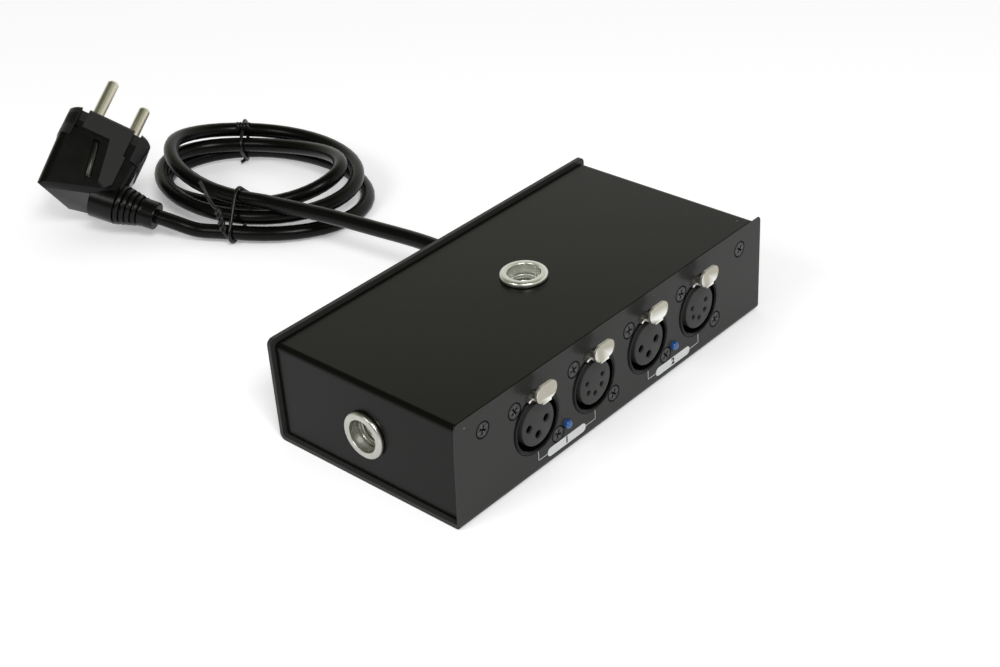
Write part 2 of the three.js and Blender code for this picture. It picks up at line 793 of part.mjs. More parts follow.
// The upright boards behind the connectors, with square chips on one face
function uprightBoard(length, chips, x, frontY, chipSide) {
  const foot = board.uprightFoot;
  const sheet = block(x - length / 2, x + length / 2, frontY, frontY + board.thickness, foot, foot + uprightHeight);
  const pieces = [sheet];
  const middle = foot + uprightHeight / 2;
  for (let index = 0; index < chips; index += 1) {
    const place = x + ((index + 0.5) / chips - 0.5) * (length - 2 * board.cornerInset);
    const faces = chipSide > 0
      ? [frontY + board.thickness / 2, frontY + board.thickness + board.chipThickness]
      : [frontY - board.chipThickness, frontY + board.thickness / 2];
    const halfLength = board.chipLength / 2;
    const halfWidth = board.chipWidth / 2;
    pieces.push(block(place - halfLength, place + halfLength, ...faces, middle - halfWidth, middle + halfWidth));
  }
  return join(...pieces);
}

function powerBoardGeometry() {
  const x = powerX;
  const y = board.powerY;
  const low = board.powerHeight;
  const top = low + board.thickness;
  const sheet = block(x - board.powerLength / 2, x + board.powerLength / 2,
    y - board.powerWidth / 2, y + board.powerWidth / 2, low, top);
  const can = barZ(capacitor.radius, top - board.thickness / 2, top + capacitor.height,
    x + capacitor.fromBoardMiddle, y + capacitor.aside, smallSides);
  const fuseX = x + fuseHolder.fromBoardMiddle;
  const fuseY = y + fuseHolder.aside;
  const fuse = block(fuseX - fuseHolder.length / 2, fuseX + fuseHolder.length / 2,
    fuseY - fuseHolder.width / 2, fuseY + fuseHolder.width / 2, top - board.thickness / 2, top + fuseHolder.height);
  return join(sheet, can, fuse);
}

function transformerGeometry() {
  const x = powerX + transformer.fromBoardMiddle;
  const y = board.powerY;
  const low = board.powerHeight + board.thickness + seatGap;
  const outline = roundedRectangle(x - transformer.length / 2, x + transformer.length / 2,
    y - transformer.width / 2, y + transformer.width / 2, transformer.edge);
  return drawn(outline, low, low + transformer.height);
}

// The flat cable from the input board to the output board, lying over the floor
function ribbonGeometry() {
  const from = frontBoardY + board.thickness + seatGap;
  const to = rearBoardY - board.thickness - seatGap;
  const x = ribbon.x;
  const sag = ribbon.height;
  return block(x - ribbon.width / 2, x + ribbon.width / 2, from, to, sag, sag + ribbon.thickness);
}

// A value at any turn, smoothly through the values given at the quarter turns
function atTurn(shares, turn) {
  const last = shares.length - 1;
  const place = Math.min(Math.max((turn / coil.turns) * last, 0), last);
  const index = Math.min(Math.floor(place), last - 1);
  const f = place - index;
  const b = shares[index];
  const c = shares[index + 1];
  const a = index > 0 ? shares[index - 1] : 2 * b - c;
  const d = index + 2 <= last ? shares[index + 2] : 2 * c - b;
  return b + 0.5 * f * (c - a + f * (2 * a - 5 * b + 4 * c - d + f * (3 * (b - c) + d - a)));
}

// Outward direction of the coil's oval at a turn, level with the floor
function coilOutward(turn) {
  const angle = radians(coil.startDegrees) - 2 * Math.PI * turn;
  const outward = new THREE.Vector3(
    coil.shortRadius * Math.cos(angle), coil.longRadius * Math.sin(angle), 0).normalize();
  return outward.applyAxisAngle(new THREE.Vector3(0, 0, 1), radians(coil.longAxisDegrees));
}

// Centre line of the coil, clockwise seen from above, from its top end to its bottom end
function coilPoint(turn) {
  const angle = radians(coil.startDegrees) - 2 * Math.PI * turn;
  const point = new THREE.Vector3(coil.longRadius * Math.cos(angle), coil.shortRadius * Math.sin(angle), 0);
  point.applyAxisAngle(new THREE.Vector3(0, 0, 1), radians(coil.longAxisDegrees));
  point.addScaledVector(coilOutward(turn), atTurn(laneShares, turn) * cordDiameter);
  const lowest = cordDiameter * Math.min(...layerShares);
  const height = Math.max(atTurn(layerShares, turn) * cordDiameter, lowest);
  return point.add(new THREE.Vector3(coil.centreX, coil.centreY, height));
}

// A share of a turn that is short enough to give the direction of the cord
const smallTurn = 0.02;

// The two ends of the coil run on straight and level for one cord diameter
const coilStart = coilPoint(0);
const startRun = coilPoint(0).sub(coilPoint(smallTurn)).setZ(0).normalize();
const coilEnd = coilPoint(coil.turns);
const endRun = coilPoint(coil.turns).sub(coilPoint(coil.turns - smallTurn)).setZ(0).normalize();

// A tube of flats round a list of centre points, closed with end caps or joined into a loop
function tubeGeometry(centres, radius, sides, loop = false, otherRadius = radius) {
  const count = centres.length;
  const positions = [];
  const faces = [];
  const up = new THREE.Vector3(0, 0, 1);
  let side = null;
  for (let index = 0; index < count; index += 1) {
    const before = centres[loop ? (index - 1 + count) % count : Math.max(index - 1, 0)];
    const after = centres[loop ? (index + 1) % count : Math.min(index + 1, count - 1)];
    const along = after.clone().sub(before).normalize();
    if (side === null) {
      const steep = Math.abs(along.dot(up)) > Math.SQRT1_2;
      side = new THREE.Vector3().crossVectors(along, steep ? new THREE.Vector3(1, 0, 0) : up);
    }
    side = side.clone().addScaledVector(along, -side.dot(along)).normalize();
    const other = new THREE.Vector3().crossVectors(along, side);
    for (let corner = 0; corner < sides; corner += 1) {
      const angle = (corner / sides) * 2 * Math.PI;
      const point = centres[index].clone();
      point.addScaledVector(side, radius * Math.cos(angle)).addScaledVector(other, otherRadius * Math.sin(angle));
      positions.push(point.x, point.y, point.z);
    }
  }
  const rings = loop ? count : count - 1;
  for (let index = 0; index < rings; index += 1) {
    for (let corner = 0; corner < sides; corner += 1) {
      const nextRing = ((index + 1) % count) * sides;
      const nextCorner = (corner + 1) % sides;
      const a = index * sides + corner;
      const b = index * sides + nextCorner;
      const c = nextRing + nextCorner;
      const d = nextRing + corner;
      faces.push(a, b, c, a, c, d);
    }
  }
  if (!loop) {
    const lastRing = (count - 1) * sides;
    for (let corner = 1; corner < sides - 1; corner += 1) {
      faces.push(0, corner + 1, corner);
      faces.push(lastRing, lastRing + corner, lastRing + corner + 1);
    }
  }
  const geometry = new THREE.BufferGeometry();
  geometry.setAttribute("position", new THREE.Float32BufferAttribute(positions, 3));
  geometry.setIndex(faces);
  return geometry;
}

function coilGeometry() {
  const centres = [coilStart.clone().addScaledVector(startRun, cordDiameter)];
  const steps = coil.turns * coil.stepsPerTurn;
  for (let step = 0; step <= steps; step += 1) {
    centres.push(coilPoint(step / coil.stepsPerTurn));
  }
  centres.push(coilEnd.clone().addScaledVector(endRun, cordDiameter));
  return tubeGeometry(centres, cordDiameter / 2, coil.sides);
}

// Least gap between loops, measured on points of the centre line
function coilSelfGap() {
  const perTurn = 4 * coil.stepsPerTurn;
  const points = [];
  for (let step = 0; step <= coil.turns * perTurn; step += 1) {
    points.push(coilPoint(step / perTurn));
  }
  let least = Infinity;
  for (let i = 0; i < points.length; i += 1) {
    for (let j = i + perTurn / 2; j < points.length; j += 1) {
      least = Math.min(least, points[i].distanceTo(points[j]));
    }
  }
  return least - cordDiameter;
}

// A free stretch of cord through chosen points, straight for one diameter at both ends
function cordGeometry(points, steps) {
  const path = new THREE.CatmullRomCurve3(points, false, "centripetal");
  const section = new THREE.Shape();
  section.absarc(0, 0, cordDiameter / 2, 0, 2 * Math.PI);
  return new THREE.ExtrudeGeometry(section, { steps, extrudePath: path, bevelEnabled: false, curveSegments: arcSteps + 1 });
}

// From the bush in the rear panel to the top loop of the coil
function leadPoints() {
  const exit = new THREE.Vector3(cordExitX, caseDepth / 2 + bush.headLength + fitGap, cordExitHeight);
  const meet = coilStart.clone().addScaledVector(startRun, cordDiameter + fitGap);
  return [
    exit,
    exit.clone().add(new THREE.Vector3(0, cordDiameter, 0)),
    ...leadRoute.map((place) => new THREE.Vector3(...place)),
    meet.clone().addScaledVector(startRun, cordDiameter),
    meet,
  ];
}

// The plug's own frame: Z along the pins, X along the line of the pins, and the middle of the face at the origin
function plugFrame() {
  const heading = radians(plug.pinHeadingDegrees);
  const lift = radians(plug.pinLiftDegrees);
  const pins = new THREE.Vector3(
    Math.cos(lift) * Math.cos(heading), Math.cos(lift) * Math.sin(heading), Math.sin(lift));
  const level = new THREE.Vector3(-Math.sin(heading), Math.cos(heading), 0);
  const rise = new THREE.Vector3().crossVectors(pins, level);
  const roll = radians(plug.rollDegrees);
  const line = level.clone().multiplyScalar(Math.cos(roll)).addScaledVector(rise, Math.sin(roll));
  const across = new THREE.Vector3().crossVectors(pins, line);
  const frame = new THREE.Matrix4().makeBasis(line, across, pins);
  return frame.setPosition(plug.faceX, plug.faceY, plug.faceHeight);
}

// Direction of the boot, square to the pins, in the plug's own frame
const bootAlong = new THREE.Vector3(Math.cos(radians(plug.bootDegrees)), Math.sin(radians(plug.bootDegrees)), 0);

// From the bottom loop of the coil to the boot of the plug, in one easy sweep
const tailReachShare = 0.36;
const tailSteps = 6;
function tailPoints() {
  const frame = plugFrame();
  const bootTip = new THREE.Vector3(0, 0, -plug.bootDepth).addScaledVector(bootAlong, plug.bootEnd + fitGap);
  const bootRun = bootAlong.clone().transformDirection(frame);
  bootTip.applyMatrix4(frame);
  const meet = coilEnd.clone().addScaledVector(endRun, cordDiameter + fitGap);
  const from = meet.clone().addScaledVector(endRun, cordDiameter);
  const to = bootTip.clone().addScaledVector(bootRun, cordDiameter);
  const reach = tailReachShare * from.distanceTo(to);
  const sweep = new THREE.CubicBezierCurve3(
    from, from.clone().addScaledVector(endRun, reach), to.clone().addScaledVector(bootRun, reach), to);
  return [meet, ...sweep.getPoints(tailSteps), bootTip];
}

// The moulded body: a head with ears and gaps, a slimmer grip behind it, and the ribbed boot
function plugBodyGeometry() {
  const wide = plug.headHalfWidth;
  const thick = plug.headHalfThickness;
  const corner = plug.headCorner;
  const sink = plug.bodySink;
  const edge = plug.headEdge;
  const back = -plug.bodyDepth;
  const neck = -plug.headDepth;
  const slim = [wide - sink, thick - sink, corner];
  const body = lofted([
    [wide - sink - plug.backEdge, thick - sink - plug.backEdge, corner, back],
    [...slim, back + plug.backEdge],
    [...slim, neck - sink],
    [wide, thick, corner, neck],
    [wide, thick, corner, -edge],
    [wide - edge, thick - edge, corner - edge, 0],
  ]);
  const pieces = [body];
  const tools = [];
  const collar = lofted([[wide, thick, corner, -plug.earDepth], [wide, thick, corner, -edge]]);
  const foot = -plug.earthRecessStart - plug.earthRecessLength;
  const halfRecess = plug.earthRecessWidth / 2;
  for (const side of [-1, 1]) {
    const ear = [side * plug.earInside, side * (wide + overrun)].sort((a, b) => a - b);
    pieces.push(common(collar, block(...ear, -2 * thick, 2 * thick, -plug.earDepth - overrun, overrun)));
    const rib = [side * (thick - plug.earthRecessDepth), side * thick].sort((a, b) => a - b);
    pieces.push(block(halfRecess, halfRecess + plug.ribWidth, ...rib, foot, neck));
    for (const end of [-1, 1]) {
      const gap = [end * (plug.earInside - plug.gapWidth), end * plug.earInside].sort((a, b) => a - b);
      const cutDepth = [side * (thick - plug.gapDepth), side * (thick + overrun)].sort((a, b) => a - b);
      tools.push(block(...gap, ...cutDepth, -plug.earDepth, overrun));
    }
    const recess = [side * (thick - plug.earthRecessDepth), side * (thick + overrun)].sort((a, b) => a - b);
    tools.push(block(-halfRecess, halfRecess, ...recess, foot, -plug.earthRecessStart));
  }
  const shell = cut(join(...pieces), ...tools).rotateZ(radians(plug.bodyTurnDegrees));

  const slope = (plug.bootTipRadius - plug.bootRootRadius) / (plug.bootRibsTo - plug.bootStart);
  const radiusAt = (place) => plug.bootRootRadius + slope * (place - plug.bootStart);
  const boot = [[0, plug.bootStart], [plug.bootRootRadius, plug.bootStart]];
  const pitch = (plug.bootRibsTo - plug.bootRibsFrom) / plug.bootRibs;
  for (let rib = 0; rib < plug.bootRibs; rib += 1) {
    const at = plug.bootRibsFrom + pitch * rib;
    const valley = radiusAt(at) - plug.bootRibDepth;
    boot.push([radiusAt(at - pitch / 4), at - pitch / 4], [valley, at - pitch / 8]);
    boot.push([valley, at + pitch / 8], [radiusAt(at + pitch / 4), at + pitch / 4]);
  }
  boot.push([plug.bootTipRadius, plug.bootRibsTo]);
  boot.push([plug.bootTipRadius, plug.bootEnd - plug.bootTipEdge]);
  boot.push([plug.bootTipRadius - plug.bootTipEdge, plug.bootEnd], [0, plug.bootEnd]);
  const bootBody = turned(boot, roundSides);
  bootBody.rotateY(Math.PI / 2).rotateZ(radians(plug.bootDegrees)).translate(0, 0, -plug.bootDepth);

  const pinHoles = [-1, 1].map((side) => barZ(
    plug.pinRadius + fitGap, -plug.pinSeatDepth - fitGap, overrun, side * (plug.pinSpacing / 2), 0, roundSides));
  return cut(join(shell, bootBody), ...pinHoles);
}

function plugPinGeometry(side) {
  const r = plug.pinRadius;
  const tip = plug.pinLength;
  const pin = turned([
    [0, -plug.pinSeatDepth],
    [r, -plug.pinSeatDepth],
    [r, tip - r / 2],
    [r * Math.SQRT1_2, tip - r / 6],
    [r / 3, tip],
    [0, tip],
  ], roundSides);
  return pin.translate(side * (plug.pinSpacing / 2), 0, 0);
}

// A bowed strip in the recess of the plug's flat side
function earthClipGeometry(side) {
  const floor = plug.headHalfThickness - plug.earthRecessDepth + fitGap;
  const foot = -plug.earthRecessStart - plug.earthRecessLength + overrun / 2;
  const tip = foot + plug.earthClipLength;
  const middle = (foot + tip) / 2;
  const shape = new THREE.Shape();
  shape.moveTo(foot, floor);
  shape.lineTo(foot, floor + plug.earthClipThickness);
  shape.quadraticCurveTo(middle, floor + plug.earthClipThickness + 2 * plug.earthClipBow,
    tip, floor + plug.earthClipThickness);
  shape.lineTo(tip, floor);
  shape.quadraticCurveTo(middle, floor + 2 * plug.earthClipBow, foot, floor);
  const half = plug.earthClipWidth / 2;
  const strip = drawn(shape, -half, half);
  const basis = new THREE.Matrix4().makeBasis(
    new THREE.Vector3(0, 0, 1), new THREE.Vector3(0, side, 0), new THREE.Vector3(-side, 0, 0));
  return strip.applyMatrix4(basis).rotateZ(radians(plug.bodyTurnDegrees));
}

// A wire round the strands that cross one upright plane of the coil, with a twisted knot on top
function tieGeometry(turn) {
  const outward = coilOutward(turn);
  const up = new THREE.Vector3(0, 0, 1);
  const strands = [];
  for (let loop = 0; turn + loop <= coil.turns; loop += 1) {
    strands.push(coilPoint(turn + loop));
  }
  const origin = coilPoint(turn).setZ(0);
  const offset = cordDiameter / 2 + tie.halfThickness + tie.gap;
  const flat = strands.map((point) => [point.clone().sub(origin).dot(outward), point.z]);
  const centres = [];
  for (let step = 0; step < tie.steps; step += 1) {
    const angle = (step / tie.steps) * 2 * Math.PI;
    const nx = Math.cos(angle);
    const nz = Math.sin(angle);
    const far = flat.reduce((best, place) =>
      (place[0] * nx + place[1] * nz > best[0] * nx + best[1] * nz ? place : best));
    const across = far[0] + offset * nx;
    const height = far[1] + offset * nz;
    centres.push(origin.clone().addScaledVector(outward, across).addScaledVector(up, height));
  }
  const ring = tubeGeometry(centres, tie.halfWidth, tie.sides, true, tie.halfThickness);
  const top = centres.reduce((best, point) => (point.z > best.z ? point : best));
  const knot = barZ(tie.knotRadius, top.z, top.z + tie.knotLength, top.x, top.y, tie.sides);
  return join(ring, knot);
}

// The case
add("chassis_tray", trayGeometry(), paint);
add("cover", coverGeometry(), paint);

// The four cover screws, and the rivet nuts
const screwBody = screwGeometry();
for (const sideX of [-1, 1]) {
  for (const onRear of [false, true]) {
    const place = panelPlace(sideX * coverScrewX, coverScrewHeight, onRear);
    const name = `cover_screw_${onRear ? "rear" : "front"}_${sideX < 0 ? "left" : "right"}`;
    add(name, screwBody, blackSteel, place);
  }
}
const topNut = add("rivet_nut_top", nutGeometry(), zinc);
topNut.position.set(nut.topX, nut.topY, caseHeight - lipHeight);
const sideNut = add("rivet_nut_side", nutGeometry(), zinc);
sideNut.rotation.y = -Math.PI / 2;
sideNut.position.set(-(panelLength / 2 - lipHeight), nut.sideY, sideNutHeight);

// The output sockets: three, five, three and five contacts
socketX.forEach((x, index) => {
  const name = `socket_${index + 1}`;
  const place = panelPlace(x, connector.height);
  add(`${name}_housing`, housingGeometry(true), blackPlastic, place);
  add(`${name}_insert`, insertGeometry(index % 2 === 0 ? 3 : 5), greyPlastic, place);
  add(`${name}_latch`, latchGeometry(), tabMetal, place);
  screwCorners.forEach(([sx, sy], corner) => {
    const mesh = add(`${name}_screw_${corner === 0 ? "upper" : "lower"}`, screwBody, blackSteel, place);
    mesh.position.set(sx, sy, 0);
  });
});

// The rear inputs
inputX.forEach((x, index) => {
  const contacts = index === 0 ? 5 : 3;
  const name = `input_${contacts}pin`;
  const place = panelPlace(x, connector.height, true);
  add(`${name}_housing`, housingGeometry(false), blackPlastic, place);
  add(`${name}_contacts`, inputContactsGeometry(contacts), greyPlastic, place);
  screwCorners.forEach(([sx, sy], corner) => {
    const mesh = add(`${name}_screw_${corner === 0 ? "upper" : "lower"}`, screwBody, blackSteel, place);
    mesh.position.set(sx, sy, 0);
  });
});

// The lamps and the bush
for (const side of [-1, 1]) {
  add(`lamp_${side < 0 ? 1 : 2}`, lampGeometry(), blueLens, panelPlace(side * connector.pitch, lampHeight));
}
add("cord_bush", bushGeometry(), blackPlastic, panelPlace(cordExitX, cordExitHeight, true));

// Inside the case
add("output_board", uprightBoard(board.outputLength, 4, 0, frontBoardY, 1), fibreglass);
const inputMiddle = (inputX[0] + inputX[1]) / 2;
add("input_board", uprightBoard(board.inputLength, 2, inputMiddle, rearBoardY - board.thickness, -1), fibreglass);
add("power_board", powerBoardGeometry(), fibreglass);
add("transformer", transformerGeometry(), steelCore);
add("ribbon_cable", ribbonGeometry(), ribbonGrey);

// The mains lead
add("cord_lead", cordGeometry(leadPoints(), 14), cordRubber);
add("cord_coil", coilGeometry(), cordRubber);
add("cord_tail", cordGeometry(tailPoints(), 10), cordRubber);
add("tie_front", tieGeometry(tie.frontTurn), plugRubber);
add("tie_rear", tieGeometry(tie.rearTurn), plugRubber);

// The plug
const plugPlace = new THREE.Group();
plugPlace.applyMatrix4(plugFrame());
part.add(plugPlace);
add("plug_body", plugBodyGeometry(), plugRubber, plugPlace);
add("plug_pin_upper", plugPinGeometry(-1), nickel, plugPlace);
add("plug_pin_lower", plugPinGeometry(1), nickel, plugPlace);
add("plug_earth_clip_near", earthClipGeometry(-1), nickel, plugPlace);
add("plug_earth_clip_far", earthClipGeometry(1), nickel, plugPlace);

console.log(`coil: least gap to itself ${coilSelfGap().toFixed(2)} mm`);

export default part;
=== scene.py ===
import math

import bmesh
import bpy
from mathutils import Matrix, Vector


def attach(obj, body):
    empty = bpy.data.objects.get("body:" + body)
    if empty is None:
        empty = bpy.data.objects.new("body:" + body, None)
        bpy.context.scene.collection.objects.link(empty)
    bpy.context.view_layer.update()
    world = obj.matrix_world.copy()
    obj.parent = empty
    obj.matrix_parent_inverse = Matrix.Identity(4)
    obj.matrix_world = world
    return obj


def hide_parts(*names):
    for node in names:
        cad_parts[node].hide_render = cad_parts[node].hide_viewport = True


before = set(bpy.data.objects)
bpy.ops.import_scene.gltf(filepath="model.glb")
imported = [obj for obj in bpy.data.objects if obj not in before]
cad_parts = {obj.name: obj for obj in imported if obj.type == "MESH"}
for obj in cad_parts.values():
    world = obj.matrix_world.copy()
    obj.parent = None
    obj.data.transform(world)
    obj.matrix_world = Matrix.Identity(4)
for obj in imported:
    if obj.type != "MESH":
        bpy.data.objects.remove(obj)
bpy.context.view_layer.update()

MM = 0.001


# Camera
# It stands where the photograph was taken from, above the left front corner of the case and a little tilted.
# The focal length is in pixels of the photograph's width.
CAMERA_HEADING = math.radians(46.78)
CAMERA_DROP = math.radians(32.19)
CAMERA_ROLL = math.radians(-3.79)
CAMERA_PLACE = Vector((-368.57, -333.34, 328.82)) * MM
FOCAL_PIXELS = 1716.35
FRAME_PIXELS = 1000
SENSOR_WIDTH = 36.0

heading = Vector((math.sin(CAMERA_HEADING), math.cos(CAMERA_HEADING), 0))
ahead = heading * math.cos(CAMERA_DROP) - Vector((0, 0, math.sin(CAMERA_DROP)))
level = Vector((math.cos(CAMERA_HEADING), -math.sin(CAMERA_HEADING), 0))
over = level.cross(ahead)
right = level * math.cos(CAMERA_ROLL) + over * math.sin(CAMERA_ROLL)
over = over * math.cos(CAMERA_ROLL) - level * math.sin(CAMERA_ROLL)
camera_data = bpy.data.cameras.new("camera")
camera_data.sensor_width = SENSOR_WIDTH
camera_data.lens = FOCAL_PIXELS / FRAME_PIXELS * SENSOR_WIDTH
camera_data.clip_start = 0.01
camera = bpy.data.objects.new("camera", camera_data)
bpy.context.scene.collection.objects.link(camera)
camera_turn = Matrix((right, over, -ahead)).transposed().to_4x4()
camera.matrix_world = Matrix.Translation(CAMERA_PLACE) @ camera_turn
bpy.context.scene.camera = camera
bpy.context.scene.view_settings.view_transform = "Standard"


# Studio
# A white floor that runs out of sight, in a white surround that darkens overhead and to the left, with two
# soft lamps on the left. A strength of one shows as white, and the floor keeps the shadow.
def nodes_of(material):
    """The nodes, the links and the shader of a material."""
    material.use_nodes = True
    tree = material.node_tree
    return tree.nodes, tree.links, tree.nodes["Principled BSDF"]


def math_node(nodes, operation, fixed=()):
    """A Math node, with its fixed numbers as pairs of socket and value."""
    node = nodes.new("ShaderNodeMath")
    node.operation = operation
    for socket, value in fixed:
        node.inputs[socket].default_value = value
    return node


def seen_rays(nodes, links):
    """One for what the eye, a reflection or a clear piece sees, and nought for the light on the object."""
    path = nodes.new("ShaderNodeLightPath")
    seen = path.outputs["Is Camera Ray"]
    for kind in ("Is Glossy Ray", "Is Transmission Ray"):
        either = math_node(nodes, "MAXIMUM")
        links.new(seen, either.inputs[0])
        links.new(path.outputs[kind], either.inputs[1])
        seen = either.outputs[0]
    return seen


FLOOR_WHITE = (0.93, 0.93, 0.93, 1)
FLOOR_LIFT = 0.26
FLOOR_HALF = 6.0
FLOOR_SINK = 0.0001
floor_paint = bpy.data.materials.new("studio_floor")
nodes, links, shader = nodes_of(floor_paint)
shader.inputs["Base Color"].default_value = FLOOR_WHITE
shader.inputs["Roughness"].default_value = 0.9
shader.inputs["Specular IOR Level"].default_value = 0.1
shader.inputs["Emission Color"].default_value = (1, 1, 1, 1)
lift = math_node(nodes, "MULTIPLY", [(1, FLOOR_LIFT)])
links.new(seen_rays(nodes, links), lift.inputs[0])
links.new(lift.outputs[0], shader.inputs["Emission Strength"])
floor_paint.cycles.emission_sampling = "NONE"
floor_corners = [(x * FLOOR_HALF, y * FLOOR_HALF, 0) for x, y in ((-1, -1), (1, -1), (1, 1), (-1, 1))]
floor_mesh = bpy.data.meshes.new("floor")
floor_mesh.from_pydata(floor_corners, [], [(0, 1, 2, 3)])
floor_mesh.materials.append(floor_paint)
floor = bpy.data.objects.new("floor", floor_mesh)
floor.location = (0, 0, -FLOOR_SINK)
bpy.context.scene.collection.objects.link(floor)

SURROUND_LIGHT = 0.55
DARK_SIDE = (-0.5, 0, 1)
WHITE_UP_TO, DARK_FROM = -0.05, 0.7
SHADES = ((0.0, (1, 1, 1, 1)), (0.36, (0.86, 0.89, 0.72, 1)), (1.0, (0.13, 0.14, 0.09, 1)))
world = bpy.data.worlds.new("surround")
bpy.context.scene.world = world
world.use_nodes = True
nodes, links = world.node_tree.nodes, world.node_tree.links
nodes.clear()
way = nodes.new("ShaderNodeTexCoord")
reach = nodes.new("ShaderNodeVectorMath")
reach.operation = "DOT_PRODUCT"
reach.inputs[1].default_value = DARK_SIDE
fade = nodes.new("ShaderNodeMapRange")
fade.inputs["From Min"].default_value = WHITE_UP_TO
fade.inputs["From Max"].default_value = DARK_FROM
shades = nodes.new("ShaderNodeValToRGB")
shades.color_ramp.elements.new(0.5)
for stop, (share, tone) in zip(shades.color_ramp.elements, SHADES):
    stop.position = share
    stop.color = tone
light = nodes.new("ShaderNodeBackground")
light.inputs["Strength"].default_value = SURROUND_LIGHT
seen = nodes.new("ShaderNodeBackground")
mix = nodes.new("ShaderNodeMixShader")
out = nodes.new("ShaderNodeOutputWorld")
links.new(way.outputs["Generated"], reach.inputs[0])
links.new(reach.outputs["Value"], fade.inputs["Value"])
links.new(fade.outputs[0], shades.inputs["Fac"])
links.new(shades.outputs["Color"], seen.inputs["Color"])
links.new(seen_rays(nodes, links), mix.inputs[0])
links.new(light.outputs[0], mix.inputs[1])
links.new(seen.outputs[0], mix.inputs[2])
links.new(mix.outputs[0], out.inputs["Surface"])


def soft_lamp(name, place, aim, size, power):
    """A rectangular lamp aimed at a place."""
    lamp_data = bpy.data.lights.new(name, "AREA")
    lamp_data.shape = "RECTANGLE"
    lamp_data.size, lamp_data.size_y = size
    lamp_data.energy = power
    lamp = bpy.data.objects.new(name, lamp_data)
    lamp.location = place
    lamp.rotation_euler = (Vector(aim) - Vector(place)).to_track_quat("-Z", "Y").to_euler()
    bpy.context.scene.collection.objects.link(lamp)


soft_lamp("key_lamp", place=(-0.6, -0.95, 1.2), aim=(0, 0.05, 0), size=(0.5, 0.4), power=13)
soft_lamp("side_lamp", place=(-1.2, 0.2, 1.0), aim=(0, 0.1, 0), size=(0.5, 0.4), power=5)


# Black case
# The tray and its cover are bent from steel sheet, rolled in a fine stippled black paint.
# The paint is a little thin on the cut edges and carries specks of dust on the flats.
FLOAT = "NodeSocketFloat"


def effect_group(name, inputs, outputs):
    """A shader group of named numbers, as (name, value at first) pairs, that puts out the named outputs."""
    tree = bpy.data.node_groups.new(name, "ShaderNodeTree")
    for label, value in inputs:
        socket = tree.interface.new_socket(label, in_out="INPUT", socket_type=FLOAT)
        socket.default_value = value
    for label in outputs:
        tree.interface.new_socket(label, in_out="OUTPUT", socket_type=FLOAT)
    return tree, tree.nodes.new("NodeGroupInput"), tree.nodes.new("NodeGroupOutput")


# Fine grain: a height and a slow change of shade, both from noise at the object's own scale
grain, given, made = effect_group(
    "fine_grain", [("Grain Scale", 2500), ("Cloud Scale", 30), ("Shade Depth", 0.15)], ["Height", "Shade"])
place = grain.nodes.new("ShaderNodeTexCoord")
fine = grain.nodes.new("ShaderNodeTexNoise")
fine.inputs["Detail"].default_value = 3
cloud = grain.nodes.new("ShaderNodeTexNoise")
cloud.inputs["Detail"].default_value = 2
spread = math_node(grain.nodes, "MULTIPLY_ADD")
depth = math_node(grain.nodes, "SUBTRACT", [(0, 1)])
grain.links.new(place.outputs["Object"], fine.inputs["Vector"])
grain.links.new(place.outputs["Object"], cloud.inputs["Vector"])
grain.links.new(given.outputs["Grain Scale"], fine.inputs["Scale"])
grain.links.new(given.outputs["Cloud Scale"], cloud.inputs["Scale"])
grain.links.new(given.outputs["Shade Depth"], depth.inputs[1])
grain.links.new(cloud.outputs["Fac"], spread.inputs[0])
grain.links.new(given.outputs["Shade Depth"], spread.inputs[1])
grain.links.new(depth.outputs[0], spread.inputs[2])
grain.links.new(fine.outputs["Fac"], made.inputs["Height"])
grain.links.new(spread.outputs[0], made.inputs["Shade"])

# Dust: a few pale specks, at the middles of some of the cells
CELLS_LEFT_CLEAN = 0.86
dust, given, made = effect_group("dust_specks", [("Speck Scale", 160), ("Speck Size", 0.05)], ["Mask"])
place = dust.nodes.new("ShaderNodeTexCoord")
cells = dust.nodes.new("ShaderNodeTexVoronoi")
split = dust.nodes.new("ShaderNodeSeparateColor")
middle = math_node(dust.nodes, "LESS_THAN")
rare = math_node(dust.nodes, "GREATER_THAN", [(1, CELLS_LEFT_CLEAN)])
both = math_node(dust.nodes, "MULTIPLY")
dust.links.new(place.outputs["Object"], cells.inputs["Vector"])
dust.links.new(given.outputs["Speck Scale"], cells.inputs["Scale"])
dust.links.new(cells.outputs["Distance"], middle.inputs[0])
dust.links.new(given.outputs["Speck Size"], middle.inputs[1])
dust.links.new(cells.outputs["Color"], split.inputs[0])
dust.links.new(split.outputs[0], rare.inputs[0])
dust.links.new(middle.outputs[0], both.inputs[0])
dust.links.new(rare.outputs[0], both.inputs[1])
dust.links.new(both.outputs[0], made.inputs["Mask"])

# Worn edges: the sharpest outer edges of a surface
wear, given, made = effect_group("worn_edges", [("Start", 0.56), ("End", 0.66)], ["Mask"])
shape = wear.nodes.new("ShaderNodeNewGeometry")
rise = wear.nodes.new("ShaderNodeMapRange")
wear.links.new(shape.outputs["Pointiness"], rise.inputs["Value"])
wear.links.new(given.outputs["Start"], rise.inputs["From Min"])
wear.links.new(given.outputs["End"], rise.inputs["From Max"])
wear.links.new(rise.outputs[0], made.inputs["Mask"])

GRAIN_HEIGHT = 0.0002
DUST_PALE = (0.35, 0.35, 0.33)
EDGE_ANGLE, FLAT_ANGLE = 30, 1


def laid_over(nodes, links, under, colour, mask):
    """A colour laid over another one as far as the mask says."""
    over = nodes.new("ShaderNodeMix")
    over.data_type = "RGBA"
    over.inputs["B"].default_value = (*colour, 1)
    links.new(mask, over.inputs["Factor"])
    links.new(under, over.inputs["A"])
    return over.outputs["Result"]


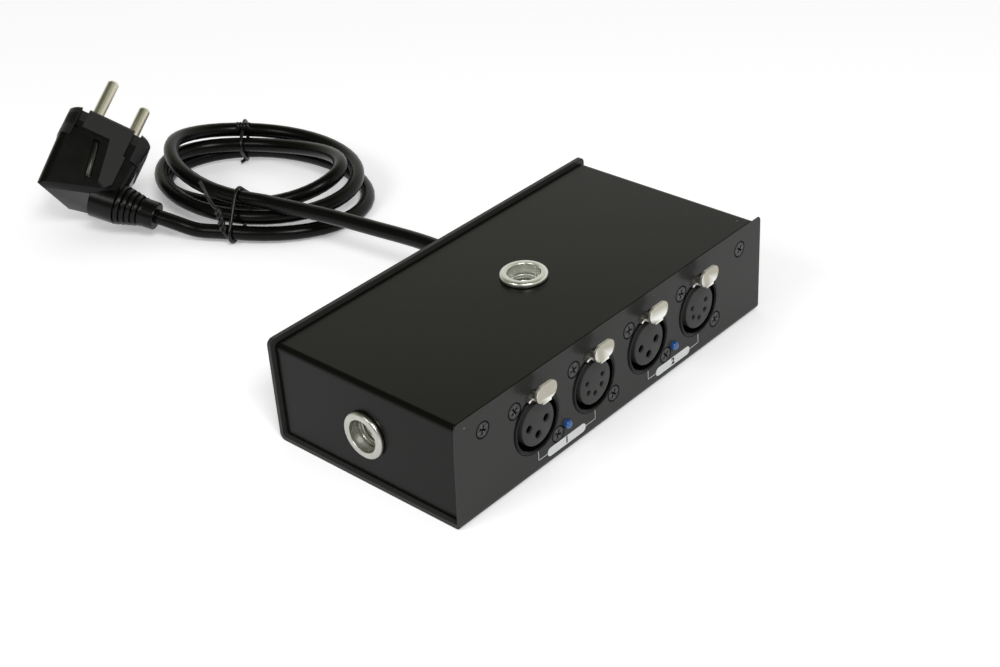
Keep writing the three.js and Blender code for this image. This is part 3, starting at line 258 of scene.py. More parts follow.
def finish_of(name, colour, rough, metal=0.0, grain_scale=2500, grain_bump=0.1, shade=0.15, cloud_scale=30,
              rough_shift=0.1, specular=0.5, worn=None, dusty=0.0):
    """A material of one colour with its grain, slow shading, worn edges and dust."""
    material = bpy.data.materials.new(name)
    nodes, links, shader = nodes_of(material)
    fine = nodes.new("ShaderNodeGroup")
    fine.node_tree = grain
    fine.inputs["Grain Scale"].default_value = grain_scale
    fine.inputs["Cloud Scale"].default_value = cloud_scale
    fine.inputs["Shade Depth"].default_value = shade
    tone = nodes.new("ShaderNodeMix")
    tone.data_type = "RGBA"
    tone.blend_type = "MULTIPLY"
    tone.inputs["Factor"].default_value = 1
    tone.inputs["A"].default_value = (*colour, 1)
    links.new(fine.outputs["Shade"], tone.inputs["B"])
    surface = tone.outputs["Result"]
    if worn:
        edges = nodes.new("ShaderNodeGroup")
        edges.node_tree = wear
        surface = laid_over(nodes, links, surface, worn, edges.outputs["Mask"])
    if dusty:
        specks = nodes.new("ShaderNodeGroup")
        specks.node_tree = dust
        amount = math_node(nodes, "MULTIPLY", [(1, dusty)])
        links.new(specks.outputs["Mask"], amount.inputs[0])
        surface = laid_over(nodes, links, surface, DUST_PALE, amount.outputs[0])
    links.new(surface, shader.inputs["Base Color"])
    gloss = math_node(nodes, "MULTIPLY_ADD", [(1, rough_shift), (2, rough - rough_shift / 2)])
    links.new(fine.outputs["Height"], gloss.inputs[0])
    links.new(gloss.outputs[0], shader.inputs["Roughness"])
    bump = nodes.new("ShaderNodeBump")
    bump.inputs["Strength"].default_value = grain_bump
    bump.inputs["Distance"].default_value = GRAIN_HEIGHT
    links.new(fine.outputs["Height"], bump.inputs["Height"])
    links.new(bump.outputs[0], shader.inputs["Normal"])
    shader.inputs["Metallic"].default_value = metal
    shader.inputs["Specular IOR Level"].default_value = specular
    return material


def rounded_over(piece, width, segments=2, angle=EDGE_ANGLE):
    """Rounds the sharp edges of a piece over by a width in mm, with even shading on its flats."""
    work = bmesh.new()
    work.from_mesh(piece.data)
    bmesh.ops.remove_doubles(work, verts=work.verts, dist=1e-6)
    bmesh.ops.dissolve_limit(work, angle_limit=math.radians(FLAT_ANGLE), verts=work.verts, edges=work.edges)
    work.to_mesh(piece.data)
    work.free()
    bevel = piece.modifiers.new("rounded_edges", "BEVEL")
    bevel.width = width * MM
    bevel.segments = segments
    bevel.limit_method = "ANGLE"
    bevel.angle_limit = math.radians(angle)
    bevel.use_clamp_overlap = True
    for polygon in piece.data.polygons:
        polygon.use_smooth = True
    piece.data.set_sharp_from_angle(angle=math.radians(angle))
    weighted = piece.modifiers.new("even_shading", "WEIGHTED_NORMAL")
    weighted.keep_sharp = True


def softened(node, name, body, material, width, segments=2):
    """A copy of a CAD piece with its sharp edges rounded over, which stands for it."""
    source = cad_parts[node]
    piece = source.copy()
    piece.data = source.data.copy()
    piece.name = name
    piece.parent = None
    piece.matrix_world = source.matrix_world.copy()
    bpy.context.scene.collection.objects.link(piece)
    piece.data.materials.clear()
    piece.data.materials.append(material)
    rounded_over(piece, width, segments)
    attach(piece, body)
    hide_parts(node)
    return piece


SHEET_EDGE = 0.25
case_paint = finish_of("case_paint", (0.003, 0.003, 0.0025), 0.24, grain_scale=1400, grain_bump=0.18,
                       cloud_scale=12, specular=0.12, worn=(0.03, 0.03, 0.029), dusty=0.4)
softened("chassis_tray", "tray_painted", "case", case_paint, SHEET_EDGE)
softened("cover", "cover_painted", "case", case_paint, SHEET_EDGE)


# Printing
# White ink, screen printed on the front panel, so that it stands a hair above the paint. Under each pair of
# sockets is a pill with the pair's number, and a thin line runs from the pill's ends to both rings.
PANEL_Y = -40.5
PITCH = 28.6
INK_THICK = 0.04
PILL_HALF, PILL_HALF_HEIGHT = 9.6, 1.6
PILL_MIDDLE, PILL_ASIDE = 4.85, -0.3
PILL_STEPS = 12
LINE_WIDTH, LINE_REACH, LINE_TOP = 0.18, 14.3, 8.3
DIGIT_SIZE, DIGIT_BOLD, DIGIT_THICK = 3.2, 0.18, 0.01
ink = finish_of("white_ink", (0.7, 0.71, 0.71), 0.5, grain_scale=1800, grain_bump=0.1, shade=0.08)


def add_object(name, mesh, material, body, smooth=True):
    """A piece of the scene from a mesh, in one material, that rides on a body."""
    piece = bpy.data.objects.new(name, mesh)
    bpy.context.scene.collection.objects.link(piece)
    mesh.materials.clear()
    mesh.materials.append(material)
    if smooth:
        for polygon in mesh.polygons:
            polygon.use_smooth = True
        mesh.set_sharp_from_angle(angle=math.radians(EDGE_ANGLE))
    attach(piece, body)
    return piece


def mesh_of(name, verts, faces):
    """A mesh from places in metres and the faces between them."""
    mesh = bpy.data.meshes.new(name)
    mesh.from_pydata(verts, [], faces)
    mesh.update()
    return mesh


def drawn_through(name, outline, low, high):
    """A closed outline of (x, z) places in mm as a solid from one Y to another."""
    count = len(outline)
    verts = [Vector((x, y, z)) * MM for y in (low, high) for x, z in outline]
    faces = [tuple(range(count)), tuple(reversed(range(count, 2 * count)))]
    faces += [((i + 1) % count, i, i + count, (i + 1) % count + count) for i in range(count)]
    mesh = mesh_of(name, verts, faces)
    work = bmesh.new()
    work.from_mesh(mesh)
    bmesh.ops.recalc_face_normals(work, faces=work.faces)
    work.to_mesh(mesh)
    work.free()
    return mesh


def printed(name, outline):
    """A thin layer of ink on the front panel."""
    layer = drawn_through(name, outline, PANEL_Y - INK_THICK, PANEL_Y + INK_THICK)
    add_object(name, layer, ink, "case", smooth=False)


def strip(a, b):
    """The outline of a straight line of ink from one panel place to another."""
    start, end = Vector(a), Vector(b)
    along = (end - start).normalized() * (LINE_WIDTH / 2)
    side = Vector((-along.y, along.x))
    corners = (start - along - side, end + along - side, end + along + side, start - along + side)
    return [(corner.x, corner.y) for corner in corners]


for number, middle in ((1, -PITCH), (2, PITCH)):
    pill = []
    for side in (1, -1):
        for step in range(PILL_STEPS + 1):
            turn = math.pi * (step / PILL_STEPS - 0.5)
            half = PILL_HALF - PILL_HALF_HEIGHT + PILL_HALF_HEIGHT * math.cos(turn)
            rise = side * PILL_HALF_HEIGHT * math.sin(turn)
            pill.append((middle + PILL_ASIDE + side * half, PILL_MIDDLE + rise))
    printed(f"print_pill_{number}", pill)
    for side, word in ((-1, "left"), (1, "right")):
        pill_end = (middle + PILL_ASIDE + side * PILL_HALF, PILL_MIDDLE)
        corner = (middle + side * LINE_REACH, PILL_MIDDLE)
        printed(f"print_line_{number}_{word}_flat", strip(pill_end, corner))
        printed(f"print_line_{number}_{word}_up", strip(corner, (corner[0], LINE_TOP)))
    digit_curve = bpy.data.curves.new(f"print_digit_{number}", "FONT")
    digit_curve.body = str(number)
    digit_curve.size = DIGIT_SIZE * MM
    digit_curve.offset = DIGIT_BOLD * MM
    digit_curve.align_x = digit_curve.align_y = "CENTER"
    digit_curve.extrude = DIGIT_THICK * MM
    digit_curve.materials.append(case_paint)
    digit = bpy.data.objects.new(f"print_digit_{number}", digit_curve)
    digit.rotation_euler = (math.pi / 2, 0, 0)
    digit.location = Vector((middle + PILL_ASIDE, PANEL_Y - INK_THICK, PILL_MIDDLE)) * MM
    bpy.context.scene.collection.objects.link(digit)
    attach(digit, "case")


# Rivet nuts
# Zinc plated steel inserts, one in the top and one in the left end, drawn up from inside the cover.
# The flange has a rounded edge, and under the turned mouth a ledge leads into the metric thread. Each nut
# has its own copy of the zinc, painted lighter on top and darker on the end, for how the light falls.
NUT_SIDES = 64
THREAD_PITCH = 1.5
THREAD_INNER, THREAD_OUTER = 4.4, 5.0
THREAD_TOP, THREAD_FOOT = -4.4, -14.6
THREAD_ROWS = int((THREAD_TOP - THREAD_FOOT) / THREAD_PITCH * 4)

# Radius and height in mm, from the foot of the bore up the outside, over the flange and down into the mouth
NUT_PROFILE = [(THREAD_INNER, THREAD_FOOT), (6.3, THREAD_FOOT), (6.3, -7.2), (7.6, -5.9), (7.6, -1.4),
               (6.5, -1.4), (6.5, 0.1), (8.05, 0.1), (8.28, 0.35), (8.35, 0.75), (8.31, 1.15), (8.16, 1.5),
               (7.9, 1.76), (7.55, 1.9), (6.15, 1.9), (5.95, 1.83), (5.8, 1.6), (5.7, -0.9), (5.58, -1.1),
               (5.52, -2.4), (5.38, -2.6), (5.32, -3.2), (4.7, -3.4), (4.7, -3.6), (THREAD_OUTER, -3.8),
               (THREAD_OUTER, THREAD_TOP)]
# Painted light: the top nut's zinc is lighter for the light from above, the end nut's darker as painted
# shade.
NUTS = {
    "top": (Matrix.Translation(Vector((1, 1.2, 37.1)) * MM), (0.8, 0.8, 0.76)),
    "side": (Matrix.Translation(Vector((-78.4, -0.3, 18.25)) * MM) @ Matrix.Rotation(-math.pi / 2, 4, "Y"),
             (0.56, 0.555, 0.51)),
}


def round_mesh(name, rings, place):
    """A mesh through rings of (radius, height) in mm, evenly about local Z. A ring of one place is a tip."""
    work = bmesh.new()
    rows = []
    for ring in rings:
        row = []
        for step, (radius, height) in enumerate(ring):
            angle = 2 * math.pi * step / len(ring)
            spot = Vector((radius * MM * math.cos(angle), radius * MM * math.sin(angle), height * MM))
            row.append(work.verts.new(place @ spot))
        rows.append(row)
    for low, high in zip(rows, rows[1:]):
        count = max(len(low), len(high))
        for i in range(count):
            j = (i + 1) % count
            if len(low) == 1:
                work.faces.new((low[0], high[j], high[i]))
            elif len(high) == 1:
                work.faces.new((low[i], low[j], high[0]))
            else:
                work.faces.new((low[i], low[j], high[j], high[i]))
    bmesh.ops.remove_doubles(work, verts=work.verts, dist=1e-7)
    bmesh.ops.recalc_face_normals(work, faces=work.faces)
    mesh = bpy.data.meshes.new(name)
    work.to_mesh(mesh)
    work.free()
    return mesh


def nut_mesh(name, place):
    """A nut with its flange, its turned mouth and the thread down its bore."""
    rings = [[spot] * NUT_SIDES for spot in NUT_PROFILE]
    for row in range(1, THREAD_ROWS):
        height = THREAD_TOP + (THREAD_FOOT - THREAD_TOP) * row / THREAD_ROWS
        ring = []
        for step in range(NUT_SIDES):
            phase = (height / THREAD_PITCH - step / NUT_SIDES) % 1.0
            ring.append((THREAD_INNER + (THREAD_OUTER - THREAD_INNER) * abs(2 * phase - 1), height))
        rings.append(ring)
    return round_mesh(name, rings + rings[:1], place)


for word, (place, colour) in NUTS.items():
    zinc = finish_of(f"zinc_painted_light_by_facing_{word}", colour, 0.33, metal=1.0, grain_scale=900, grain_bump=0.25,
                     shade=0.25, cloud_scale=260, rough_shift=0.3, worn=(0.85, 0.85, 0.82))
    nut = add_object(f"nut_{word}", nut_mesh(f"nut_{word}", place), zinc, "case")
    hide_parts(f"rivet_nut_{word}")


# Screws
# Blackened countersunk M3 screws with a cross recess, flush in the panel, each stopped at its own angle.
# A near-black matte ring round each head is painted shade, for the shadow where the countersink
# meets the paint.
SCREW_PROFILE = [(0, -7), (1.5, -7), (1.5, -1.3), (2.5, -0.32), (2.6, -0.2), (2.6, -0.05), (2.52, 0.0),
                 (0, 0)]
CROSS_REACH, CROSS_HALF, CROSS_DEPTH, CROSS_TAPER = 1.5, 0.34, 2.2, 0.75
CUT_PAST = 0.4
SHADE_RING_PROFILE = [(2.55, -0.1), (3.05, -0.1), (3.05, 0.02), (3.0, 0.05), (2.62, 0.05), (2.55, -0.1)]
COVER_SCREW_X, COVER_SCREW_HEIGHT = 67.3, 30.7
CONNECTOR_HEIGHT, SCREW_CORNER = 19.35, 9.9
SOCKETS = {f"socket_{i + 1}": (i - 1.5) * PITCH for i in range(4)}
INPUTS = {"input_5pin": -46.0, "input_3pin": -46.0 + PITCH}
STOP_STEP, STOP_BACK = 37, 25


def lathe_mesh(name, profile, sides=64, place=Matrix()):
    """A ring or solid turned about local Z from (radius, height) pairs in mm."""
    return round_mesh(name, [[spot] * (sides if spot[0] > 1e-6 else 1) for spot in profile], place)


def block_mesh(name, low, high, taper=1.0):
    """A block between two corners in mm, with its low end narrowed by the taper."""
    (x0, y0, z0), (x1, y1, z1) = [[v * MM for v in corner] for corner in (low, high)]
    head = [(x0, y0, z1), (x1, y0, z1), (x1, y1, z1), (x0, y1, z1)]
    foot = [(x * taper, y * taper, z0) for x, y, z in head]
    faces = [(0, 3, 2, 1), (4, 5, 6, 7), (0, 1, 5, 4), (1, 2, 6, 5), (2, 3, 7, 6), (3, 0, 4, 7)]
    return mesh_of(name, foot + head, faces)


def cut_from(mesh, tools, name, operation="DIFFERENCE"):
    """The mesh less the tool meshes, or joined with them where the operation is UNION."""
    body = bpy.data.objects.new(name + "_cutting", mesh)
    bpy.context.scene.collection.objects.link(body)
    made = [body]
    for index, tool_mesh in enumerate(tools):
        tool = bpy.data.objects.new(f"{name}_tool_{index}", tool_mesh)
        bpy.context.scene.collection.objects.link(tool)
        change = body.modifiers.new("cut", "BOOLEAN")
        change.operation = operation
        change.solver = "EXACT"
        change.object = tool
        made.append(tool)
    bpy.context.view_layer.update()
    result = bpy.data.meshes.new_from_object(body.evaluated_get(bpy.context.evaluated_depsgraph_get()))
    for used in made:
        bpy.data.objects.remove(used)
    return result


def together(name, meshes):
    """Several meshes as one."""
    work = bmesh.new()
    for mesh in meshes:
        work.from_mesh(mesh)
    result = bpy.data.meshes.new(name)
    work.to_mesh(result)
    work.free()
    return result


def panel_place(x, height, rear=False, dx=0.0, dz=0.0):
    """Local X along the panel, local Y up, local Z out of the front or rear panel."""
    facing = Matrix.Rotation(math.pi if rear else 0, 4, "Z") @ Matrix.Rotation(math.pi / 2, 4, "X")
    spot = Vector((x, -PANEL_Y if rear else PANEL_Y, height)) * MM
    return Matrix.Translation(spot) @ facing @ Matrix.Translation(Vector((dx, dz, 0)) * MM)


black_steel = finish_of("black_steel", (0.003, 0.003, 0.003), 0.3, grain_scale=1600, grain_bump=0.15,
                        specular=0.38, worn=(0.05, 0.05, 0.05))
# Painted shade: matte near-black for the rings that stand for the shadow round each screw head.
countersink_shade_paint = finish_of("painted_countersink_shade", (0.0012, 0.0012, 0.0012), 0.6, grain_scale=1200, specular=0.04)
crosses = [block_mesh("cross", (-x, -y, -CROSS_DEPTH), (x, y, CUT_PAST), CROSS_TAPER)
           for x, y in ((CROSS_REACH, CROSS_HALF), (CROSS_HALF, CROSS_REACH))]
screw_mesh = cut_from(lathe_mesh("screw_blank", SCREW_PROFILE, 32), crosses, "screw")
screw_places = {}
for side, word in ((-1, "left"), (1, "right")):
    for end, rear in (("front", False), ("rear", True)):
        place = panel_place(side * COVER_SCREW_X, COVER_SCREW_HEIGHT, rear)
        screw_places[f"cover_screw_{end}_{word}"] = place
for names, rear in ((SOCKETS, False), (INPUTS, True)):
    for name, x in names.items():
        for word, off in (("upper", SCREW_CORNER), ("lower", -SCREW_CORNER)):
            screw_places[f"{name}_screw_{word}"] = panel_place(x, CONNECTOR_HEIGHT, rear, -off, off)
for index, (node, place) in enumerate(screw_places.items()):
    stop = Matrix.Rotation(math.radians((index * STOP_STEP) % 90 - STOP_BACK), 4, "Z")
    screw = add_object(node + "_head", screw_mesh.copy(), black_steel, "case")
    screw.data.transform(place @ stop)
    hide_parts(node)
# Painted shade rings, one over the countersink's gap round each head.
seats = together("countersink_shade_rings", [lathe_mesh("seat", SHADE_RING_PROFILE, 40, place)
                                 for place in screw_places.values()])
add_object("countersink_shade_rings", seats, countersink_shade_paint, "case")


# Output sockets
# A die cast ring with a plate behind the panel, coated satin black, and a grey moulded insert with three or
# five contact holes. Each hole is lined with a matte near-black sleeve, painted shade for its dark depth.
# The press tab of the latch is a nickel plated pressing.
RING_EDGE, TAB_EDGE = 0.15, 0.22
INSERT_PROFILE = [(0, -17), (7.7, -17), (7.7, 0.2), (7.62, 0.42), (7.4, 0.5), (0, 0.5)]
CONTACT_CIRCLE, CONTACT_SIDES = 4.1, 24
HOLE_RIM, SLEEVE_GAP = 0.25, 0.01

# How many contacts, the degrees between them and the radius of a hole, for the two sockets of a pair
LAYOUTS = ((3, 90, 1.35), (5, 54, 0.85))
shell_black = finish_of("connector_shell", (0.002, 0.002, 0.0019), 0.24, grain_scale=1500, grain_bump=0.12,
                        cloud_scale=90, specular=0.13, worn=(0.03, 0.03, 0.03))
insert_grey = finish_of("connector_insert", (0.03, 0.03, 0.0295), 0.5, grain_scale=2200, grain_bump=0.15,
                        specular=0.25)
# Painted shade: matte near-black for the sleeves that darken the inside of the contact holes.
hole_shade_black = finish_of("painted_hole_shade", (0.001, 0.001, 0.001), 0.6, grain_scale=1200, specular=0.03)
bright_metal = finish_of("latch_metal", (0.5, 0.475, 0.4), 0.42, metal=0.9, grain_scale=700, grain_bump=0.25,
                         shade=0.25, cloud_scale=140, rough_shift=0.2, worn=(0.85, 0.85, 0.82))
for index, (name, x) in enumerate(SOCKETS.items()):
    softened(f"{name}_housing", f"{name}_shell", "case", shell_black, RING_EDGE)
    softened(f"{name}_latch", f"{name}_press_tab", f"latch_{index + 1}", bright_metal,
             TAB_EDGE, segments=3)
    contacts, apart, radius = LAYOUTS[index % 2]
    rim, inner = radius + HOLE_RIM, radius - SLEEVE_GAP
    hole = [(0, -10.5), (radius, -10.5), (radius, 0.25), (rim, 0.5), (rim, 2), (0, 2)]
    sleeve = [(0, -9), (inner, -9), (inner, -0.3), (radius * 0.7, -0.3), (radius * 0.6, -4), (0, -4)]
    spots = []
    for contact in range(contacts):
        angle = math.radians(-90 + (contact - (contacts - 1) / 2) * apart)
        spots.append(Matrix.Translation(Vector((math.cos(angle), math.sin(angle), 0)) * CONTACT_CIRCLE * MM))
    holes = [lathe_mesh("hole", hole, CONTACT_SIDES, spot) for spot in spots]
    block = cut_from(lathe_mesh(f"{name}_blank", INSERT_PROFILE), holes, name)
    # The sleeves are painted shade that darkens the inside of each hole.
    shade_sleeve_meshes = together(f"{name}_hole_shade_linings",
                       [lathe_mesh("sleeve", sleeve, CONTACT_SIDES, spot) for spot in spots])
    for mesh in (block, shade_sleeve_meshes):
        mesh.transform(panel_place(x, CONNECTOR_HEIGHT))
    insert = add_object(f"{name}_contact_block", block, insert_grey, "case")
    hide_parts(f"{name}_insert")
    add_object(f"{name}_hole_shade_linings", shade_sleeve_meshes, hole_shade_black, "case")


# Rear inputs
# The same die cast rings, with plated pins on a moulded disc in place of the insert, drawn together in the
# insert's grey.
# Two countersunk screws hold each one, as in front.
PIN_DISC_EDGE = 0.1
for name in INPUTS:
    softened(f"{name}_housing", f"{name}_shell", "case", shell_black, RING_EDGE)
    softened(f"{name}_contacts", f"{name}_pins", "case", insert_grey, PIN_DISC_EDGE)


# Indicator lamps
# Clear blue moulded lenses, pushed through the panel from behind as far as a collar, between the sockets of
# a pair. Each stands proud of the panel with a domed tip, and has a faint painted glow of blue light.
LAMP_HEIGHT = 11.1
LENS_RADIUS, LENS_PROUD, LENS_CROWN = 1.5, 1.8, 1.1
COLLAR_RADIUS = 1.9
DOME_STEPS = 8
lens = finish_of("blue_lens", (0.012, 0.065, 0.22), 0.06, grain_scale=300, grain_bump=0.0, shade=0.1,
                 rough_shift=0.02, specular=0.8)
lens_glow_shader = lens.node_tree.nodes["Principled BSDF"]
# Painted glow: a faint blue emission that lightens the lens.
lens_glow_shader.inputs["Emission Color"].default_value = (0.02, 0.2, 0.9, 1)
lens_glow_shader.inputs["Emission Strength"].default_value = 0.04
dome = [(0, -5), (LENS_RADIUS, -5), (LENS_RADIUS, -2.6), (COLLAR_RADIUS, -2.6), (COLLAR_RADIUS, -1.6),
        (LENS_RADIUS, -1.6)]
dome += [(LENS_RADIUS * math.cos(t), LENS_PROUD - LENS_CROWN + LENS_CROWN * math.sin(t))
         for t in (math.pi / 2 * i / DOME_STEPS for i in range(DOME_STEPS + 1))]
for number, side in ((1, -1), (2, 1)):
    mesh = lathe_mesh(f"lens_{number}", dome, 32)
    mesh.transform(panel_place(side * PITCH, LAMP_HEIGHT))
    lamp = add_object(f"lens_{number}", mesh, lens, "case")
    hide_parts(f"lamp_{number}")


# Inside the case
# Green circuit boards, the transformer and the grey flat cable between two of the boards.
# The closed case hides them, so they keep their plain shapes.
board_green = finish_of("solder_mask", (0.014, 0.1, 0.03), 0.35, grain_scale=900, grain_bump=0.1)
core_steel = finish_of("varnished_core", (0.045, 0.045, 0.047), 0.5, metal=0.4, grain_scale=900,
                       grain_bump=0.2)
flat_grey = finish_of("flat_cable", (0.18, 0.18, 0.19), 0.55, grain_scale=900, grain_bump=0.2)
INSIDE_LOOKS = {"output_board": board_green, "input_board": board_green, "power_board": board_green,
                "transformer": core_steel, "ribbon_cable": flat_grey}
for node, material in INSIDE_LOOKS.items():
    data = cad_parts[node].data
    data.materials.clear()
    data.materials.append(material)


# Mains lead
# Round black cord with a smooth soft sheath. It leaves the rear panel level, through a nylon bush, runs back
# to its coil of three loops, and ends in the boot of the plug. All in mm until it is drawn.
CORD_DIAMETER = 6.0
CORD_EXIT = (22, 46.8, 18.7)
LEAD_ROUTE = [(21.6, 72, 18.4), (20, 92, 17.6), (17.3, 117, 16.8), (14, 136, 16.2)]
LEAD_STEP, TAIL_STEP = 4, 3
COIL_MIDDLE = (33.5, 177.3)
COIL_LONG, COIL_SHORT = 44.4, 30.5
COIL_AXIS, COIL_START = math.radians(103.2), math.radians(106.4)
COIL_TURNS, STEPS_PER_TURN = 3, 48
SMALL_TURN = 0.02
SWEEP_REACH, SWEEP_STEPS = 0.36, 6
CORD_FINENESS = 6
BUSH_EDGE = 0.4

# How far each quarter turn of the coil lies outward and up, in diameters of the cord
LANES = [-0.15, -1.0, 0.8, 0.17, 0.35, -0.22, -0.75, -0.88, -1.7, -0.23, 0.12, 0.83, 1.35]
LAYERS = [2.63, 3.34, 2.04, 1.88, 1.46, 1.8, 1.71, 2.75, 1.27, 0.66, 0.82, 0.51, 0.79]

# The plug's face and the lines of its pins and its boot, since the cord ends at the boot's tip
PLUG_FACE = Vector((-6.3, 216.6, 33.7))
PIN_HEADING, PIN_LIFT, PLUG_ROLL = math.radians(15.6), math.radians(32.5), math.radians(-106.4)
BOOT_TURN = math.radians(-55.5)
BOOT_DEPTH, BOOT_END = 27.6, 32.5
pin_line = Vector((math.cos(PIN_LIFT) * math.cos(PIN_HEADING), math.cos(PIN_LIFT) * math.sin(PIN_HEADING),
                   math.sin(PIN_LIFT)))
plug_level = Vector((-math.sin(PIN_HEADING), math.cos(PIN_HEADING), 0))
plug_rise = pin_line.cross(plug_level)
plug_line = plug_level * math.cos(PLUG_ROLL) + plug_rise * math.sin(PLUG_ROLL)
plug_across = pin_line.cross(plug_line)
boot_run = plug_line * math.cos(BOOT_TURN) + plug_across * math.sin(BOOT_TURN)
boot_tip = PLUG_FACE - pin_line * BOOT_DEPTH + boot_run * BOOT_END


def at_turn(shares, turn):
    """A value at any turn, smoothly through those at the quarter turns."""
    last = len(shares) - 1
    spot = min(max(turn / COIL_TURNS * last, 0), last)
    index = min(int(spot), last - 1)
    f = spot - index
    b, c = shares[index], shares[index + 1]
    a = shares[index - 1] if index > 0 else 2 * b - c
    d = shares[index + 2] if index + 2 <= last else 2 * c - b
    return b + 0.5 * f * (c - a + f * (2 * a - 5 * b + 4 * c - d + f * (3 * (b - c) + d - a)))


def coil_outward(turn):
    """The level direction away from the coil's middle line."""
    angle = COIL_START - 2 * math.pi * turn
    outward = Vector((COIL_SHORT * math.cos(angle), COIL_LONG * math.sin(angle), 0)).normalized()
    return Matrix.Rotation(COIL_AXIS, 3, "Z") @ outward


def coil_point(turn):
    """The middle of the cord at any turn of the coil."""
    angle = COIL_START - 2 * math.pi * turn
    oval = Vector((COIL_LONG * math.cos(angle), COIL_SHORT * math.sin(angle), 0))
    point = Matrix.Rotation(COIL_AXIS, 3, "Z") @ oval
    point += coil_outward(turn) * at_turn(LANES, turn) * CORD_DIAMETER
    height = max(at_turn(LAYERS, turn), min(LAYERS)) * CORD_DIAMETER
    return point + Vector((*COIL_MIDDLE, height))


def level_run(start, end):
    """The level direction from one place to another."""
    run = end - start
    run.z = 0
    return run.normalized()


def between(a, b, start, end, at):
    """From a at the start to b at the end, by where the place at lies."""
    return a * ((end - at) / (end - start)) + b * ((at - start) / (end - start))


def through(points, step_length):
    """Even steps along a centripetal curve through the points."""
    knots = [0.0]
    for a, b in zip(points, points[1:]):
        knots.append(knots[-1] + math.sqrt((b - a).length))
    ends = [points[0] * 2 - points[1], *points, points[-1] * 2 - points[-2]]
    knots = [knots[0] * 2 - knots[1], *knots, knots[-1] * 2 - knots[-2]]
    result = []
    for i in range(1, len(ends) - 2):
        p, t = ends[i - 1:i + 3], knots[i - 1:i + 3]
        steps = max(1, round((p[2] - p[1]).length / step_length))
        for s in range(steps):
            u = t[1] + (t[2] - t[1]) * s / steps
            a = [between(p[k], p[k + 1], t[k], t[k + 1], u) for k in range(3)]
            b = [between(a[k], a[k + 1], t[k], t[k + 2], u) for k in range(2)]
            result.append(between(b[0], b[1], t[1], t[2], u))
    return result + [points[-1]]


def swept(name, runs, radius, fineness, material):
    """A round cord or wire along runs of places in mm, each with whether it closes on itself."""
    curve = bpy.data.curves.new(name, "CURVE")
    curve.dimensions = "3D"
    for points, closed in runs:
        line = curve.splines.new("POLY")
        line.points.add(len(points) - 1)
        for point, spot in zip(line.points, points):
            point.co = (*(spot * MM), 1)
        line.use_cyclic_u = closed
        line.use_smooth = True
    curve.bevel_depth = radius * MM
    curve.bevel_resolution = fineness
    curve.use_fill_caps = True
    curve.materials.append(material)
    piece = bpy.data.objects.new(name, curve)
    bpy.context.scene.collection.objects.link(piece)
    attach(piece, "case")
    return piece


exit_point = Vector(CORD_EXIT)
start_run = level_run(coil_point(SMALL_TURN), coil_point(0))
end_run = level_run(coil_point(COIL_TURNS - SMALL_TURN), coil_point(COIL_TURNS))
lead_in = [exit_point, exit_point + Vector((0, CORD_DIAMETER, 0)), *[Vector(p) for p in LEAD_ROUTE],
           coil_point(0) + start_run * 2 * CORD_DIAMETER, coil_point(0) + start_run * CORD_DIAMETER]
coil_line = [coil_point(step / STEPS_PER_TURN) for step in range(COIL_TURNS * STEPS_PER_TURN + 1)]
sweep_start = coil_point(COIL_TURNS) + end_run * 2 * CORD_DIAMETER
sweep_end = boot_tip + boot_run * CORD_DIAMETER
sweep_reach = (sweep_end - sweep_start).length * SWEEP_REACH
run_out = [coil_point(COIL_TURNS) + end_run * CORD_DIAMETER]
for step in range(SWEEP_STEPS + 1):
    along = step / SWEEP_STEPS
    back = 1 - along
    run_out.append(sweep_start * back ** 3 + (sweep_start + end_run * sweep_reach) * 3 * along * back ** 2
                   + (sweep_end + boot_run * sweep_reach) * 3 * along ** 2 * back + sweep_end * along ** 3)
run_out.append(boot_tip)
cord_line = through(lead_in, LEAD_STEP) + coil_line + through(run_out, TAIL_STEP)
cord_black = finish_of("cord_sheath", (0.002, 0.0021, 0.0018), 0.28, grain_scale=350, grain_bump=0.03,
                       cloud_scale=60, shade=0.3, rough_shift=0.12, specular=0.15)
cord = swept("mains_cord", [(cord_line, False)], CORD_DIAMETER / 2, CORD_FINENESS, cord_black)
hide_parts("cord_lead", "cord_coil", "cord_tail")
bush_black = finish_of("bush_nylon", (0.003, 0.003, 0.003), 0.38, grain_scale=900, grain_bump=0.2,
                       specular=0.25)
softened("cord_bush", "bush_moulded", "case", bush_black, BUSH_EDGE)


# Ties
# Plastic coated wire, passed round all the strands and twisted together on the outside. The front one is
# wound down its near side with one end left long, and the rear one has a short knot on top.
WIRE_RADIUS, WIRE_GAP, WIRE_FINENESS = 0.75, 0.1, 3
FLOOR_CLEAR = 0.05
RING_STEPS, STEPS_PER_TWIST = 48, 12
FRONT_TURN, REAR_TURN = 0, 0.455
KNOT_LENGTH, KNOT_INWARD, KNOT_SUNK = 5.2, 3.2, 0.7
tie_black = finish_of("tie_plastic", (0.003, 0.003, 0.003), 0.3, grain_scale=800, grain_bump=0.1,
                      specular=0.35)


def tie_ring(turn):
    """A loop of wire drawn tight round the strands that pass one turn of the coil, kept off the floor."""
    outward = coil_outward(turn)
    strands = [coil_point(turn + loop) for loop in range(COIL_TURNS + 1) if turn + loop <= COIL_TURNS]
    origin = coil_point(turn)
    origin.z = 0
    flat = [((p - origin).dot(outward), p.z) for p in strands]
    offset = CORD_DIAMETER / 2 + WIRE_RADIUS + WIRE_GAP
    ring = []
    for step in range(RING_STEPS):
        angle = 2 * math.pi * step / RING_STEPS
        nx, nz = math.cos(angle), math.sin(angle)
        far = max(flat, key=lambda s: s[0] * nx + s[1] * nz)
        height = max(far[1] + offset * nz, WIRE_RADIUS + FLOOR_CLEAR)
        ring.append(origin + outward * (far[0] + offset * nx) + Vector((0, 0, height)))
    return ring


